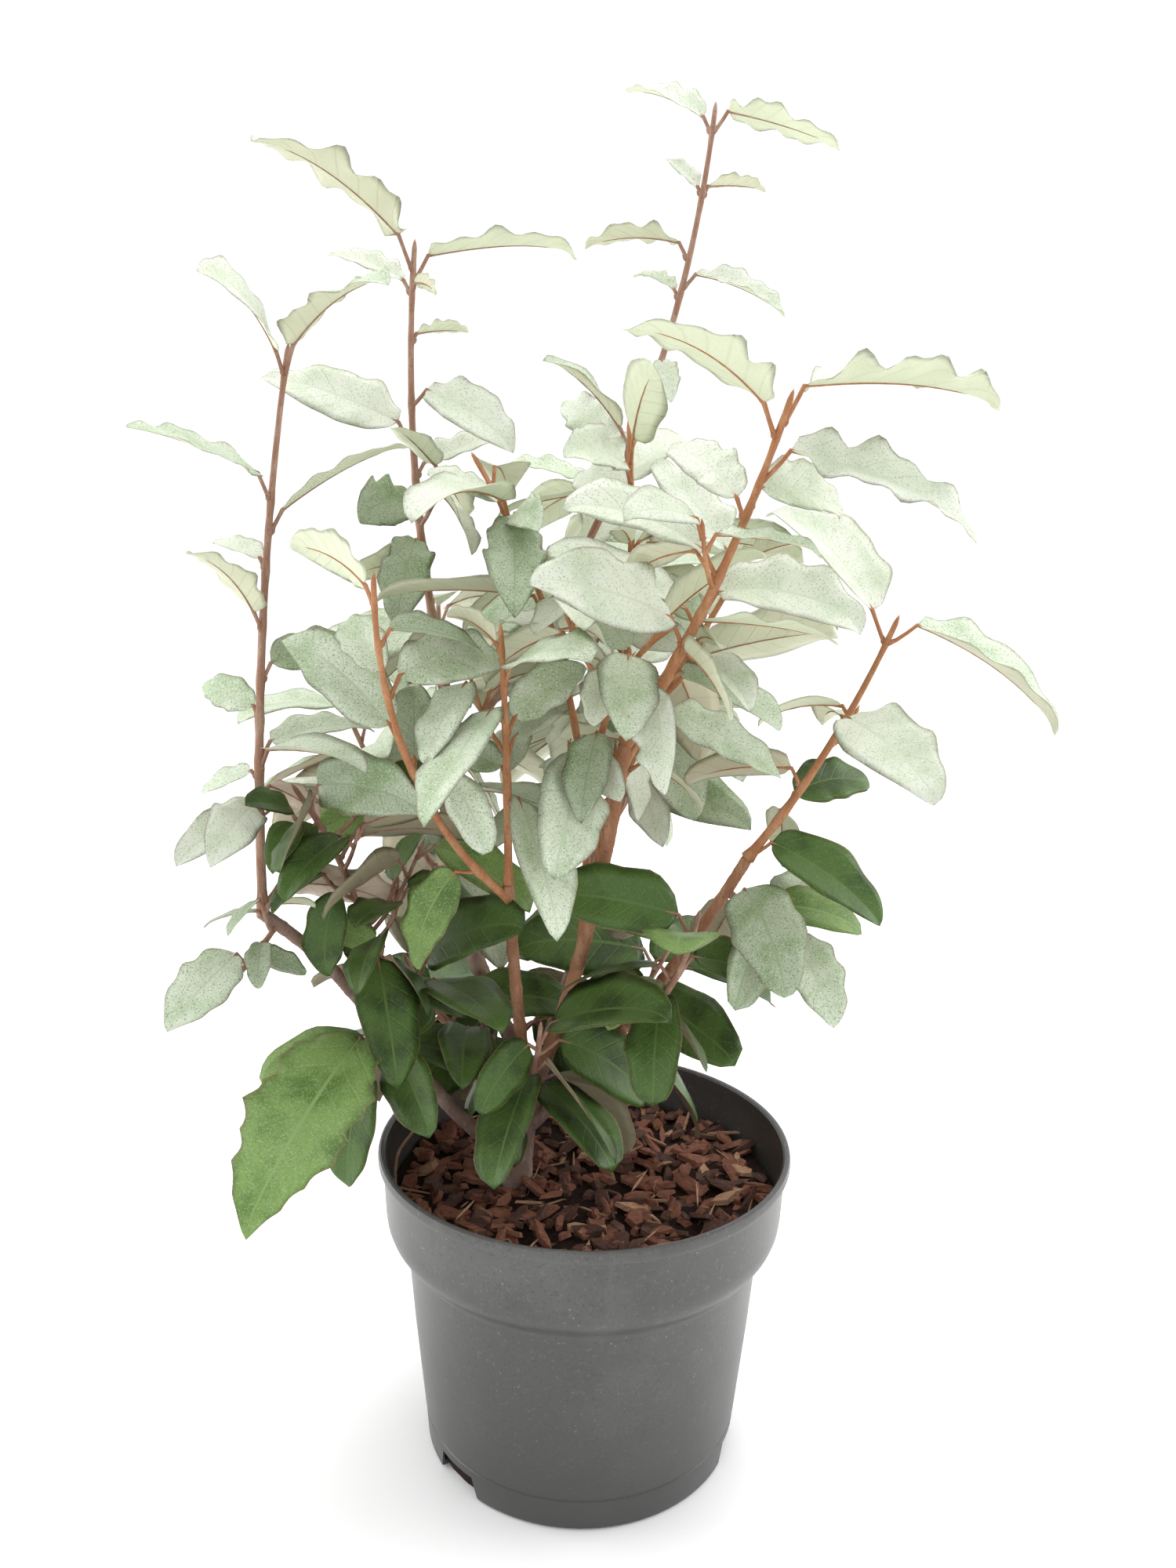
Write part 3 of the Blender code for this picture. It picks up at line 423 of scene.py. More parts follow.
# Leaves read from the photo, and those whose kind it shows. The solids have the same ones.
Leaf = namedtuple("Leaf", "up bearing rise size roll kind", defaults=(None,))
skyline = {
    "left_outer": (
        (0.944, 251, 24, 0.054, -56), (0.944, 317, 17, 0.064, 24), (0.733, 238, 13, 0.062, -24),
        (0.676, 22, 28, 0.058, -8), (0.511, 245, 35, 0.044, -4), (0.614, 145, 11, 0.030, -16),
        (0.421, 34, -1, 0.046, 48, "greyLeaves"), (0.355, 147, 8, 0.032, -62),
        (0.357, 52, -9, 0.022, 60), (0.284, 23, 4, 0.045, 16), (0.249, 167, -25, 0.026, -36),
        (0.224, 34, -37, 0.027, -48, "dryLeaves"), (0.178, 261, -19, 0.044, -32),
        (0.017, 23, -12, 0.058, -46, "dryLeaves"),
    ),
    "left_sprig": (
        (0.574, 245, -23, 0.045, -34, "silverLeaves"), (0.294, 279, -36, 0.023, 0, "greyLeaves"),
        (0.523, 17, -29, 0.022, 44, "greyLeaves"),
    ),
    "left_inner": (
        (0.896, 329, -3, 0.056, 64, "greyLeaves"), (0.565, 231, -80, 0.038, -36, "darkLeaves"),
        (0.803, 231, -35, 0.025, -22, "darkLeaves"),
    ),
    "low_left": ((0.618, 251, -25, 0.099, -20, "greenLeaves"), (0.525, 246, -72, 0.053, 4, "darkLeaves")),
    "low_left_inner": ((0.641, 238, -26, 0.047, -38), (0.672, 169, 3, 0.036, -34, "darkLeaves")),
    "tall_left": (
        (0.937, 230, 17, 0.076, -8), (0.915, 11, 4, 0.066, 2), (0.891, 171, 18, 0.036, -32),
        (0.9, 310, -20, 0.018, -64), (0.797, 35, 7, 0.026, -22), (0.673, 332, -30, 0.052, 46),
        (0.587, 175, 17, 0.064, -46), (0.527, 25, 19, 0.038, 28), (0.439, 248, -10, 0.046, -64),
        (0.385, 261, -50, 0.047, -16, "greyLeaves"),
    ),
    "tall_middle": (
        (0.958, 149, 22, 0.042, -24), (0.958, 334, -21, 0.054, -14), (0.877, 144, 40, 0.022, -26),
        (0.874, 26, 3, 0.030, -10), (0.79, 163, 0, 0.044, 10), (0.75, 346, -24, 0.044, 24),
        (0.736, 137, 19, 0.026, -16), (0.64, 281, -44, 0.027, 16), (0.487, 132, 31, 0.045, -58),
    ),
    "right_front": (
        (0.883, 219, 16, 0.068, 0), (0.914, 17, -2, 0.080, -4), (0.781, 357, -23, 0.075, 28),
        (0.686, 128, 26, 0.044, -32), (0.711, 37, -13, 0.047, 64), (0.411, 5, -13, 0.061, 50),
        (0.333, 10, -6, 0.055, -10), (0.328, 216, 14, 0.066, -64), (0.139, 309, -26, 0.047, 50),
        (0.199, 359, -28, 0.047, 32),
    ),
    "right_back": (
        (0.879, 325, 15, 0.032, -20), (0.879, 145, 44, 0.053, -28), (0.184, 356, -28, 0.055, 30),
        (0.613, 125, 30, 0.031, -48),
    ),
    "low_right": (
        (0.892, 128, 33, 0.076, -8), (0.892, 352, -35, 0.073, 12), (0.532, 293, -20, 0.065, 26),
        (0.22, 30, 0, 0.044, 50, "darkLeaves"), (0.01, 344, -33, 0.058, 38, "darkLeaves"),
        (0.182, 76, -52, 0.041, 28),
    ),
    "low_right_skirt": (
        (0.115, 285, -32, 0.058, 22, "greyLeaves"), (0.686, 293, -32, 0.049, 12, "silverLeaves"),
    ),
    "front_left": (
        (0.917, 143, 18, 0.045, 64), (0.55, 161, 34, 0.057, -54), (0.689, 32, 2, 0.051, 54),
        (0.711, 129, 27, 0.039, -36), (0.475, 98, 46, 0.037, 0), (0.818, 33, -14, 0.042, 24),
        (0.14, 193, -69, 0.046, -56, "greenLeaves"),
    ),
    "front_middle": (
        (0.565, 39, 28, 0.042, 58), (0.393, 131, 5, 0.032, -58), (0.36, 107, 27, 0.038, -12),
        (0.879, 157, 10, 0.026, 54),
    ),
    "centre": (
        (0.871, 214, 17, 0.034, -44), (0.787, 177, 17, 0.031, -20),
        (0.834, 274, -42, 0.054, 0, "greyLeaves"), (0.841, 289, -9, 0.037, 46),
        (0.611, 147, 10, 0.042, -16), (0.62, 314, -6, 0.036, -48),
    ),
    "centre_right": ((0.678, 252, -29, 0.036, -20), (0.754, 109, 15, 0.034, -36)),
    "centre_top": (
        (0.748, 256, 13, 0.026, 30), (0.746, 1, 12, 0.032, -28), (0.782, 119, 17, 0.052, -56),
        (0.876, 239, 2, 0.049, -58),
    ),
    "back_middle": ((0.938, 182, 12, 0.040, -26),),
}

limbPaths = {}


def heading(bearing, lean):
    around = math.radians(bearing)
    over = math.radians(lean)
    flat = math.sin(over)
    return Vector((flat * math.cos(around), flat * math.sin(around), math.cos(over)))


def grow(foot, bearing, lean, tipLean, length, steps):
    path = [Vector(foot)]
    for step in range(steps):
        share = (step + 0.5) / steps
        path.append(path[-1] + heading(bearing, lean + (tipLean - lean) * share) * (length / steps))
    return path


def along(path, share):
    place = min(max(share, 0.0), 1.0) * (len(path) - 1)
    low = min(int(place), len(path) - 2)
    return path[low].lerp(path[low + 1], place - low)


def stretch(path, end, steps):
    return [along(path, end * step / steps) for step in range(steps + 1)]


def taper(footRadius, tipRadius, steps):
    return [footRadius + (tipRadius - footRadius) * step / steps for step in range(steps + 1)]


def tube(path, radii, sides, levelFoot=False):
    # A closed tapering tube; a radius of zero at the tip makes a point.
    verts = []
    faces = []
    across = Vector((1, 0, 0))
    for at, centre in enumerate(path):
        before = path[max(at - 1, 0)]
        after = path[min(at + 1, len(path) - 1)]
        ahead = (after - before).normalized()
        if levelFoot and at == 0:
            ahead = Vector((0, 0, 1))
        across = (across - ahead * across.dot(ahead)).normalized()
        up = ahead.cross(across)
        if radii[at] == 0:
            verts.append(centre.copy())
            continue
        for side in range(sides):
            turn = 2 * math.pi * side / sides
            verts.append(centre + (across * math.cos(turn) + up * math.sin(turn)) * radii[at])
    rings = sum(1 for radius in radii if radius > 0)
    for low in range(0, (rings - 1) * sides, sides):
        for side in range(sides):
            after = (side + 1) % sides
            faces.append((low + side, low + after, low + sides + after, low + sides + side))
    last = (rings - 1) * sides
    if radii[-1] == 0:
        faces += [(last + side, last + (side + 1) % sides, rings * sides) for side in range(sides)]
    else:
        faces.append(tuple(range(last, last + sides)))
    faces.append(tuple(reversed(range(sides))))
    return verts, faces


def neckOf(foot, leaf):
    # Where the stalk meets the blade; the stalk of a hanging leaf droops too.
    droop = max(0, -leaf.rise - leafShape["droopBelow"])
    stalkAhead = heading(leaf.bearing, leafShape["stalkLean"] + droop)
    return foot + stalkAhead * leafShape["stalkShare"] * leaf.size


def plainLeaf(foot, leaf, look, widthShare, stations, room=0.0):
    # The solids' own leaf, which decides where a leaf finds room.
    fold, arch, wave = look
    stalk = leafShape["stalkRadius"]
    neck = neckOf(foot, leaf)
    level = heading(leaf.bearing + 90, 90)
    stalkAhead = (neck - foot).normalized()
    stalkUp = stalkAhead.cross(level)
    verts = []
    for centre, radius in zip((foot - stalkAhead * stalk * 0.5, neck), leafShape["stalkTaper"]):
        reach = stalk * radius + room
        verts += [centre + level * reach, centre + stalkUp * reach, centre - level * reach]
    faces = [(0, 1, 2), (0, 3, 4, 1), (1, 4, 5, 2), (2, 5, 3, 0)]
    centre = neck.copy()
    last = 0.0
    for number, (station, share) in enumerate(stations + ((1.0, 0.0),)):
        pitch = leaf.rise + arch * (0.5 - (station + last) / 2)
        ahead = heading(leaf.bearing, 90 - pitch)
        centre = centre + ahead * leaf.size * (station - last)
        last = station
        if share == 0:
            break
        side = Matrix.Rotation(math.radians(leaf.roll), 3, ahead) @ level
        up = ahead.cross(side)
        half = leaf.size * widthShare * share / 2 + room
        thick = up * (leaf.size * leafShape["thickness"] / 2 + room)
        lift = up * (half * math.sin(math.radians(fold)) + leaf.size * wave * (-1) ** number)
        spread = side * half * math.cos(math.radians(fold))
        low = len(verts)
        verts += [centre + spread + lift, centre + thick, centre - spread + lift, centre - thick]
        if number == 0:
            faces += [(3, low, low + 1, 4), (4, low + 1, low + 2, 5), (5, low + 2, low + 3, low, 3)]
            continue
        for sideNumber in range(4):
            after = (sideNumber + 1) % 4
            faces.append((low - 4 + sideNumber, low + sideNumber, low + after, low - 4 + after))
    tip = len(verts)
    verts.append(centre)
    faces += [(tip - 4 + sideNumber, tip, tip - 4 + (sideNumber + 1) % 4) for sideNumber in range(4)]
    return verts, faces


class Crown:
    # What has been placed so far, so that each new leaf can keep clear of it.
    def __init__(self):
        self.solids = []

    def measure(self, verts, faces):
        middle = sum(verts, Vector()) / len(verts)
        reach = max((vert - middle).length for vert in verts)
        return middle, reach, BVHTree.FromPolygons([tuple(vert) for vert in verts], faces)

    def add(self, owner, verts, faces):
        self.solids.append((owner, *self.measure(verts, faces)))

    def touches(self, verts, faces, skip=()):
        middle, reach, tree = self.measure(verts, faces)
        for owner, centre, extent, other in self.solids:
            near = owner not in skip and (centre - middle).length <= reach + extent
            if near and tree.overlap(other):
                return True
        return False


def packedObject(name):
    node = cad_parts[name]
    return bpy.data.objects[node] if isinstance(node, str) else node


def nodeSolid(name):
    mesh = packedObject(name).data
    return [vert.co.copy() for vert in mesh.vertices], [tuple(face.vertices) for face in mesh.polygons]


def layOutLimbs():
    foot = (*trunk["foot"], trunk["level"])
    shape = [trunk[key] for key in ("bearing", "lean", "tipLean", "length")]
    limbPaths["trunk"] = grow(foot, *shape, growth["fineSteps"])
    for limb in boughs + shoots:
        foot = along(limbPaths[limb.on], limb.up)
        shape = (limb.bearing, limb.lean, limb.tipLean, limb.length)
        limbPaths[limb.name] = grow(foot, *shape, growth["fineSteps"])


def stemShape(shoot):
    whole = limbPaths[shoot.name]
    steps = max(growth["fewestSteps"], round(shoot.length / growth["stemStep"]))
    path = stretch(whole, topOf(shoot), steps)
    radii = taper(shoot.radius, growth["stemTip"], steps)
    bud = along(whole, 1 - growth["budWidest"] * growth["budLength"] / shoot.length)
    return path + [bud, whole[-1].copy()], radii + [growth["budRadius"], 0]


def topOf(shoot):
    # The share of a shoot's length at which its end bud starts.
    return 1 - growth["budLength"] / shoot.length


def leafWidth(shoot):
    return leafShape["width"] + (leafShape["oldWidth"] - leafShape["width"]) * shoot.age


def swing(rng, most):
    return rng.uniform(-most, most)


def leafLook(rng):
    return tuple(rng.uniform(*leafShape[key]) for key in ("folds", "arches", "waves"))


Placed = namedtuple("Placed", "shoot foot leaf look width share kind")
placedLeaves = []
placedTwigs = []


def tryLeaf(crown, stemName, foot, leaf, look, width, stations):
    verts, faces = plainLeaf(foot, leaf, look, width, stations, leafShape["room"])
    stalks = stemName + "_stalks"
    cut = leafShape["stalkFaces"]
    if crown.touches(verts, faces[cut:]) or crown.touches(verts, faces[:cut], (stemName, stalks)):
        return False
    verts, faces = plainLeaf(foot, leaf, look, width, stations)
    crown.add(stalks, verts, faces[:cut])
    crown.add(stemName + "_leaves", verts, faces[cut:])
    return True


def seededLeaves(shoot, path, stemName, count, size, low, high, rng, crown, kind):
    # Leaves that turn round a stem by a fixed angle, with seeded differences.
    first = rng.uniform(0, 360)
    turn = rng.choice((-seeded["turn"], seeded["turn"]))
    width = leafWidth(shoot)
    for number in range(count):
        down = number / max(1, count - 1)
        share = high - (high - low) * ((number + seeded["start"]) / count) ** seeded["crowding"]
        rise = seeded["rise"] - seeded["lowRise"] * down - seeded["oldRise"] * shoot.age
        for attempt in range(leafShape["tries"]):
            spread = seeded["spread"] + seeded["moreSpread"] * attempt
            leaf = Leaf(
                share, first + turn * number + swing(rng, spread), rise + swing(rng, seeded["riseSpread"]),
                size * rng.uniform(*seeded["sizes"]) * (1 - seeded["shrink"] * attempt),
                swing(rng, seeded["roll"]),
            )
            look = leafLook(rng)
            foot = along(path, share)
            if tryLeaf(crown, stemName, foot, leaf, look, width, leafShape["stations"]):
                placedLeaves.append(Placed(shoot, foot, leaf, look, width, share, kind))
                break


def placeSkyline(crown, shoot):
    rng = random.Random(shoot.seed)
    width = leafWidth(shoot)
    for row in skyline.get(shoot.name, ()):
        leaf = Leaf(*row)
        foot = along(limbPaths[shoot.name], min(leaf.up, topOf(shoot)))
        for attempt in range(leafShape["tries"]):
            nudged = leaf._replace(
                bearing=leaf.bearing + swing(rng, seeded["nudgeBearing"]) * attempt,
                rise=leaf.rise + swing(rng, seeded["nudgeRise"]) * attempt,
            )
            look = leafLook(rng)
            if tryLeaf(crown, shoot.name, foot, nudged, look, width, leafShape["skyStations"]):
                placedLeaves.append(Placed(shoot, foot, nudged, look, width, leaf.up, "sky"))
                break


def tryTwig(crown, shoot, name, path):
    # A side twig that keeps clear of all but its own stem.
    radii = taper(twigs["radius"], twigs["tip"], twigs["steps"])
    ahead = (path[-1] - path[-2]).normalized()
    beyond = path[-1] + ahead * (twigs["bud"] + leafShape["room"])
    roomy = [radius + leafShape["room"] for radius in radii]
    if crown.touches(*tube(path + [beyond], roomy + [0], twigs["sides"]), (shoot.name,)):
        return False
    crown.add(name, *tube(path + [path[-1] + ahead * twigs["bud"]], radii + [0], twigs["sides"]))
    placedTwigs.append((shoot, path))
    return True


def twigPath(shoot, number, rng):
    place = (number + rng.uniform(*twigs["places"])) / shoot.twigs
    share = shoot.low + (shoot.high - shoot.low) * place
    foot = along(limbPaths[shoot.name], share * twigs["topShare"])
    bearing = rng.uniform(0, 360)
    length = rng.uniform(*twigs["lengths"])
    lean = rng.uniform(*twigs["leans"])
    return grow(foot, bearing, lean, rng.uniform(*twigs["tipLeans"]), length, twigs["steps"])


def leafyTwig(crown, shoot, name, rule, newPath, where, rng, kind):
    # Twigs are drawn until one finds room, and that one gets leaves.
    size = shoot.size * rule["leafShare"]
    for attempt in range(rule["tries"]):
        path = newPath(shoot, where, rng)
        if tryTwig(crown, shoot, name, path):
            seededLeaves(shoot, path, name, rule["leaves"], size, rule["leavesFrom"], 1.0, rng, crown, kind)
            return


def placeFoliage():
    crown = Crown()
    for name in ["pot", "soil", "trunk"] + [bough.name for bough in boughs]:
        crown.add(name, *nodeSolid(name))
    for shoot in shoots:
        crown.add(shoot.name, *tube(*stemShape(shoot), growth["stemSides"]))
    for shoot in shoots:
        placeSkyline(crown, shoot)
    for shoot in shoots:
        rng = random.Random(shoot.seed + 100)
        for number in range(shoot.twigs):
            leafyTwig(crown, shoot, f"{shoot.name}_twig_{number}", twigs, twigPath, number, rng, "twig")
        highest = min(shoot.high, topOf(shoot))
        seededLeaves(
            shoot, limbPaths[shoot.name], shoot.name, shoot.leaves, shoot.size, shoot.low, highest,
            rng, crown, "stem",
        )
    return crown


fineTwigs = {
    "each": 3, "per": 0.15, "fewest": 2, "skylineCount": 1, "tries": 5, "lengths": (0.014, 0.030),
    "leans": (45, 70), "tipLeans": (10, 35), "low": 0.10, "high": 0.50, "leaves": 3, "leafShare": 0.70,
    "leavesFrom": 0.4, "bushy": {"left_inner": 12, "low_left_inner": 4}, "bushyHigh": 0.90,
}


def finePath(shoot, share, rng):
    draws = (rng.uniform(0, 360), *(rng.uniform(*fineTwigs[key]) for key in ("leans", "tipLeans", "lengths")))
    return grow(along(limbPaths[shoot.name], share), *draws, twigs["steps"])


def placeFineTwigs(crown):
    # Finer side twigs where the solids leave room, within each mass's own reach.
    for shoot in shoots:
        rng = random.Random(shoot.seed + 500)
        low, high = fineTwigs["low"], fineTwigs["high"]
        count = max(fineTwigs["fewest"], round(fineTwigs["each"] * shoot.length / fineTwigs["per"]))
        if shoot.name in fineTwigs["bushy"]:
            count, high = fineTwigs["bushy"][shoot.name], fineTwigs["bushyHigh"]
        elif shoot.name in skyline:
            count = fineTwigs["skylineCount"]
        for number in range(count):
            share = low + (high - low) * (number + rng.random()) / count
            leafyTwig(crown, shoot, f"{shoot.name}_fine_{number}", fineTwigs, finePath, share, rng, "fine")


layOutLimbs()
crown = placeFoliage()
solidLeaves = len(placedLeaves)
placeFineTwigs(crown)
print("leaves placed:", solidLeaves, "as in the solids and", len(placedLeaves) - solidLeaves, "finer")

# Leaves

blade = {
    "steps": 13, "skySteps": 30, "toothedSteps": 56, "columns": (-1.0, -0.62, -0.045, 0.045, 0.62, 1.0),
    "skyColumns": (-1.0, -0.74, -0.4, -0.035, 0.035, 0.4, 0.74, 1.0), "bunching": 0.035,
    "thickness": 0.0005, "thinning": 0.5, "ripple": 0.026, "skyRipple": 0.040, "ripples": (0.4, 1.3),
    "oldRipple": 0.5, "tipRipple": 0.5, "rippleReach": 2.2, "beats": (1.6, 3.0), "skyBeats": 1.25,
    "fastBeats": (3.6, 5.4), "phases": (0, 6.28), "slowShare": 0.7, "sway": 0.05, "skySway": 0.09,
    "crimp": 0.6, "crimpLeast": 0.25, "crimpFrom": 0.30, "crimpOver": 0.12,
    "twist": 16, "swerve": 12, "tipDroop": 18, "droops": (0.1, 1.0), "curl": 0.10, "curls": (-0.4, 1.0),
    "hook": 35, "hooks": (0.2, 1.0), "hookFrom": 0.88, "hookOver": 0.12, "widest": (0.38, 0.50),
    "points": (0.62, 0.95), "oldPoint": 0.22, "neck": 2.1, "fullness": 1.9, "seed": 9000,
    "toothedFrom": 0.08, "toothedPoint": 1.0, "toothedWidth": 0.86, "tooth": 0.13, "teeth": 9,
    "toothMiddle": 0.55,
}

leafLooks = {  # rubbed patches, veins, scales and specks: share and colour
    "dryLeaves": {
        "slot": "old_leaves", "roughness": 0.65, "specular": 0.25,
        "colour": (0.44, 0.30, 0.19), "under": (0.66, 0.54, 0.43),
        "rubbed": (0.6, (0.33, 0.20, 0.12)), "veins": (0.15, (0.30, 0.18, 0.10)),
        "scales": (0.30, (0.62, 0.52, 0.40)), "specks": (0.6, (0.16, 0.09, 0.05)),
    },
    "paleLeaves": {
        "slot": "young_leaves", "roughness": 0.58, "specular": 0.35,
        "colour": (0.63, 0.665, 0.565), "under": (0.66, 0.70, 0.52),
        "rubbed": (0.7, (0.46, 0.54, 0.385)), "veins": (0.12, (0.46, 0.54, 0.38)),
        "scales": (0.30, (0.80, 0.815, 0.745)), "specks": (0.55, (0.17, 0.20, 0.11)),
    },
    "silverLeaves": {
        "slot": "young_leaves", "roughness": 0.55, "specular": 0.38,
        "colour": (0.515, 0.585, 0.45), "under": (0.60, 0.61, 0.445),
        "rubbed": (0.75, (0.31, 0.415, 0.235)), "veins": (0.15, (0.36, 0.45, 0.29)),
        "scales": (0.40, (0.80, 0.815, 0.745)), "specks": (0.75, (0.13, 0.17, 0.07)),
    },
    "greyLeaves": {
        "slot": "young_leaves", "roughness": 0.5, "specular": 0.42,
        "colour": (0.33, 0.395, 0.27), "under": (0.47, 0.44, 0.31),
        "rubbed": (0.8, (0.16, 0.25, 0.10)), "veins": (0.15, (0.20, 0.29, 0.14)),
        "scales": (0.45, (0.55, 0.62, 0.50)), "specks": (0.7, (0.08, 0.11, 0.045)),
    },
    "greenLeaves": {
        "slot": "old_leaves", "roughness": 0.46, "specular": 0.34,
        "colour": (0.175, 0.285, 0.075), "under": (0.33, 0.30, 0.20),
        "rubbed": (0.85, (0.070, 0.145, 0.022)), "veins": (0.16, (0.24, 0.35, 0.14)),
        "scales": (0.38, (0.36, 0.46, 0.28)), "specks": (0.4, (0.04, 0.06, 0.02)),
    },
    "darkLeaves": {
        "slot": "old_leaves", "roughness": 0.42, "specular": 0.32,
        "colour": (0.062, 0.122, 0.022), "under": (0.28, 0.25, 0.16),
        "rubbed": (0.85, (0.022, 0.048, 0.008)), "veins": (0.16, (0.11, 0.18, 0.055)),
        "scales": (0.20, (0.19, 0.25, 0.13)), "specks": (0.3, (0.02, 0.03, 0.012)),
    },
}

aging = {
    "age": 0.85, "foot": 0.20, "spread": 0.09, "lowness": 1.4, "lowBelow": 0.27, "oldest": "darkLeaves",
    "limits": ((0.20, "paleLeaves"), (0.38, "silverLeaves"), (0.60, "greyLeaves"), (0.82, "greenLeaves")),
    "tones": {  # greener above nought, paler below
        "left_sprig": -0.30, "low_right_skirt": -0.40, "low_right": -0.12, "left_inner": 0.40,
        "centre": 0.04, "centre_right": 0.04, "front_middle": 0.02, "front_left": 0.06,
    },
}


def leafKind(placed, rng):
    # Young silver leaves stand high on the shoots and old dark ones low.
    worn = placed.shoot.age * aging["age"] + (1 - placed.share) * aging["foot"]
    worn += rng.gauss(0, aging["spread"]) + aging["lowness"] * max(0.0, aging["lowBelow"] - placed.foot.z)
    worn += aging["tones"].get(placed.shoot.name, 0)
    younger = [kind for limit, kind in aging["limits"] if worn < limit]
    return placed.leaf.kind or (younger + [aging["oldest"]])[0]


def halfWidth(share, widest, point):
    # Of a blade along its length: round at the neck, drawn out at the tip.
    if share < widest:
        return math.sqrt(max(0.0, 1 - (1 - share / widest) ** blade["neck"]))
    beyond = (share - widest) / (1 - widest)
    return max(0.0, 1 - beyond ** blade["fullness"]) ** point


def fineLeaf(placed, rng):
    # Blade with rippled margins, folded along its midrib; the stalk runs on as the rib below it.
    leaf = placed.leaf
    age = placed.shoot.age
    fold = math.radians(placed.look[0])
    arch = placed.look[1]
    sky = placed.kind == "sky"

    def draw(key):
        return rng.uniform(*blade[key])

    toothed = leaf.size > blade["toothedFrom"]
    steps = blade["toothedSteps" if toothed else "skySteps" if sky else "steps"]
    columns = blade["skyColumns" if sky else "columns"]
    many = len(columns)
    level = heading(leaf.bearing + 90, 90)
    ripple = blade["skyRipple" if sky else "ripple"] * leaf.size * draw("ripples")
    ripple *= 1 - blade["oldRipple"] * age
    beats = draw("beats") * (blade["skyBeats"] if sky else 1.0)
    fastBeats = draw("fastBeats")
    height = (placed.foot.z - blade["crimpFrom"]) / blade["crimpOver"]
    crimp = blade["crimp"] * min(1.0, max(blade["crimpLeast"], height))  # the high leaves are the wavy ones
    phases = (draw("phases"), draw("phases"))
    twist = swing(rng, 1) * blade["twist"]
    swerve = swing(rng, blade["swerve"])
    tipDroop = draw("droops") * blade["tipDroop"]
    hook = draw("hooks") * blade["hook"]
    curl = draw("curls") * blade["curl"]
    widest = draw("widest")
    point = draw("points") - (0 if sky else blade["oldPoint"] * age)
    if toothed:
        point = blade["toothedPoint"]
    neck = neckOf(placed.foot, leaf)
    centre = neck.copy()
    verts = []
    places = []
    top = []
    under = []
    ribs = []

    def put(spot, across, share):
        verts.append(spot)
        places.append((0.5 + 0.5 * across, share))
        return len(verts) - 1

    last = 0.0
    for step in range(steps + 1):
        share = step / steps
        share = share - blade["bunching"] * math.sin(2 * math.pi * share)
        pitch = leaf.rise + arch * (0.5 - share) + tipDroop * (0.25 - share ** 3)
        pitch -= hook * max(0, share - blade["hookFrom"]) / blade["hookOver"]
        ahead = heading(leaf.bearing + swerve * (share - 0.5), 90 - pitch)
        centre = centre + ahead * leaf.size * (share - last)
        last = share
        side = Matrix.Rotation(math.radians(leaf.roll + twist * (share - 0.5)), 3, ahead) @ level
        up = ahead.cross(side)
        half = leaf.size * placed.width / 2 * halfWidth(share, widest, point)
        half *= blade["toothedWidth"] if toothed else 1.0
        ribs.append((centre.copy(), up))
        if step in (0, steps):
            top.append([put(centre.copy(), 0, share)] * many)
            under.append(top[-1])
            continue
        row = []
        lowRow = []
        for column in columns:
            reach = abs(column)
            beat = math.sin(2 * math.pi * beats * share + phases[column > 0])
            if sky:
                fast = math.sin(2 * math.pi * fastBeats * share + 2 * phases[column < 0])
                beat = blade["slowShare"] * beat + crimp * fast
            rise = half * (reach * math.sin(fold) - curl * reach ** 3)
            rise += ripple * reach ** blade["rippleReach"] * beat * (1 - blade["tipRipple"] * share)
            wide = 1 + blade["skySway" if sky else "sway"] * beat * reach ** 3
            if toothed:
                notch = abs(math.sin(blade["teeth"] * math.pi * share + phases[1]))
                wide += blade["tooth"] * reach ** 4 * (blade["toothMiddle"] - notch)
            spot = centre + side * half * wide * column * math.cos(fold) + up * rise
            row.append(put(spot, column, share))
            if reach < 1:
                spot = spot - up * blade["thickness"] * (1 - blade["thinning"] * reach)
                lowRow.append(put(spot, column, share))
            else:
                lowRow.append(row[-1])
        top.append(row)
        under.append(lowRow)
    faces = []
    looks = []
    for step in range(steps):
        for column in range(many - 1):
            middle = column == many // 2 - 1
            for rows, look in ((top, 2 if middle else 0), (under, 1)):
                here, there = rows[step], rows[step + 1]
                ring = (here[column], there[column], there[column + 1], here[column + 1])
                if rows is under:
                    ring = ring[:1] + ring[:0:-1]  # the other way round from the same corner
                faces.append(tuple(dict.fromkeys(ring)))  # corners that meet at an end count once
                looks.append(look)
    return verts, faces, looks, places, stalkTube(placed, neck, ribs)


stalkShape = {
    "radius": 0.00085, "ribRadius": 0.00055, "ribEnd": 0.82, "ribTaper": 0.75, "sides": 6, "sag": -0.06,
    "bends": ((0.0, 0.0, 1.5), (0.35, 1.0, 1.05), (0.7, 0.8, 0.95)),  # along, share of the sag, radius
    "joint": 1.1, "depths": (0.4, 0.9, 0.6),
}


def stalkTube(placed, neck, ribs):
    # The stalk is thickest at its foot and bends up to the blade.
    ribEnd = int((len(ribs) - 1) * stalkShape["ribEnd"])
    reach = neck - placed.foot
    sag = Vector((0, 0, stalkShape["sag"] * reach.length))
    first, middle, last = (blade["thickness"] * depth for depth in stalkShape["depths"])
    path = [placed.foot + reach * share + sag * drop for share, drop, wide in stalkShape["bends"]]
    radii = [stalkShape["radius"] * wide for share, drop, wide in stalkShape["bends"]]
    for step in range(0, ribEnd, 2):
        spot, up = ribs[step]
        path.append(spot - up * (middle if step else first))
        ribRadius = stalkShape["ribRadius"] * (1 - stalkShape["ribTaper"] * step / ribEnd)
        radii.append(ribRadius if step else stalkShape["radius"] * stalkShape["joint"])
    spot, up = ribs[ribEnd]
    return tube(path + [spot - up * last], radii + [0], stalkShape["sides"])


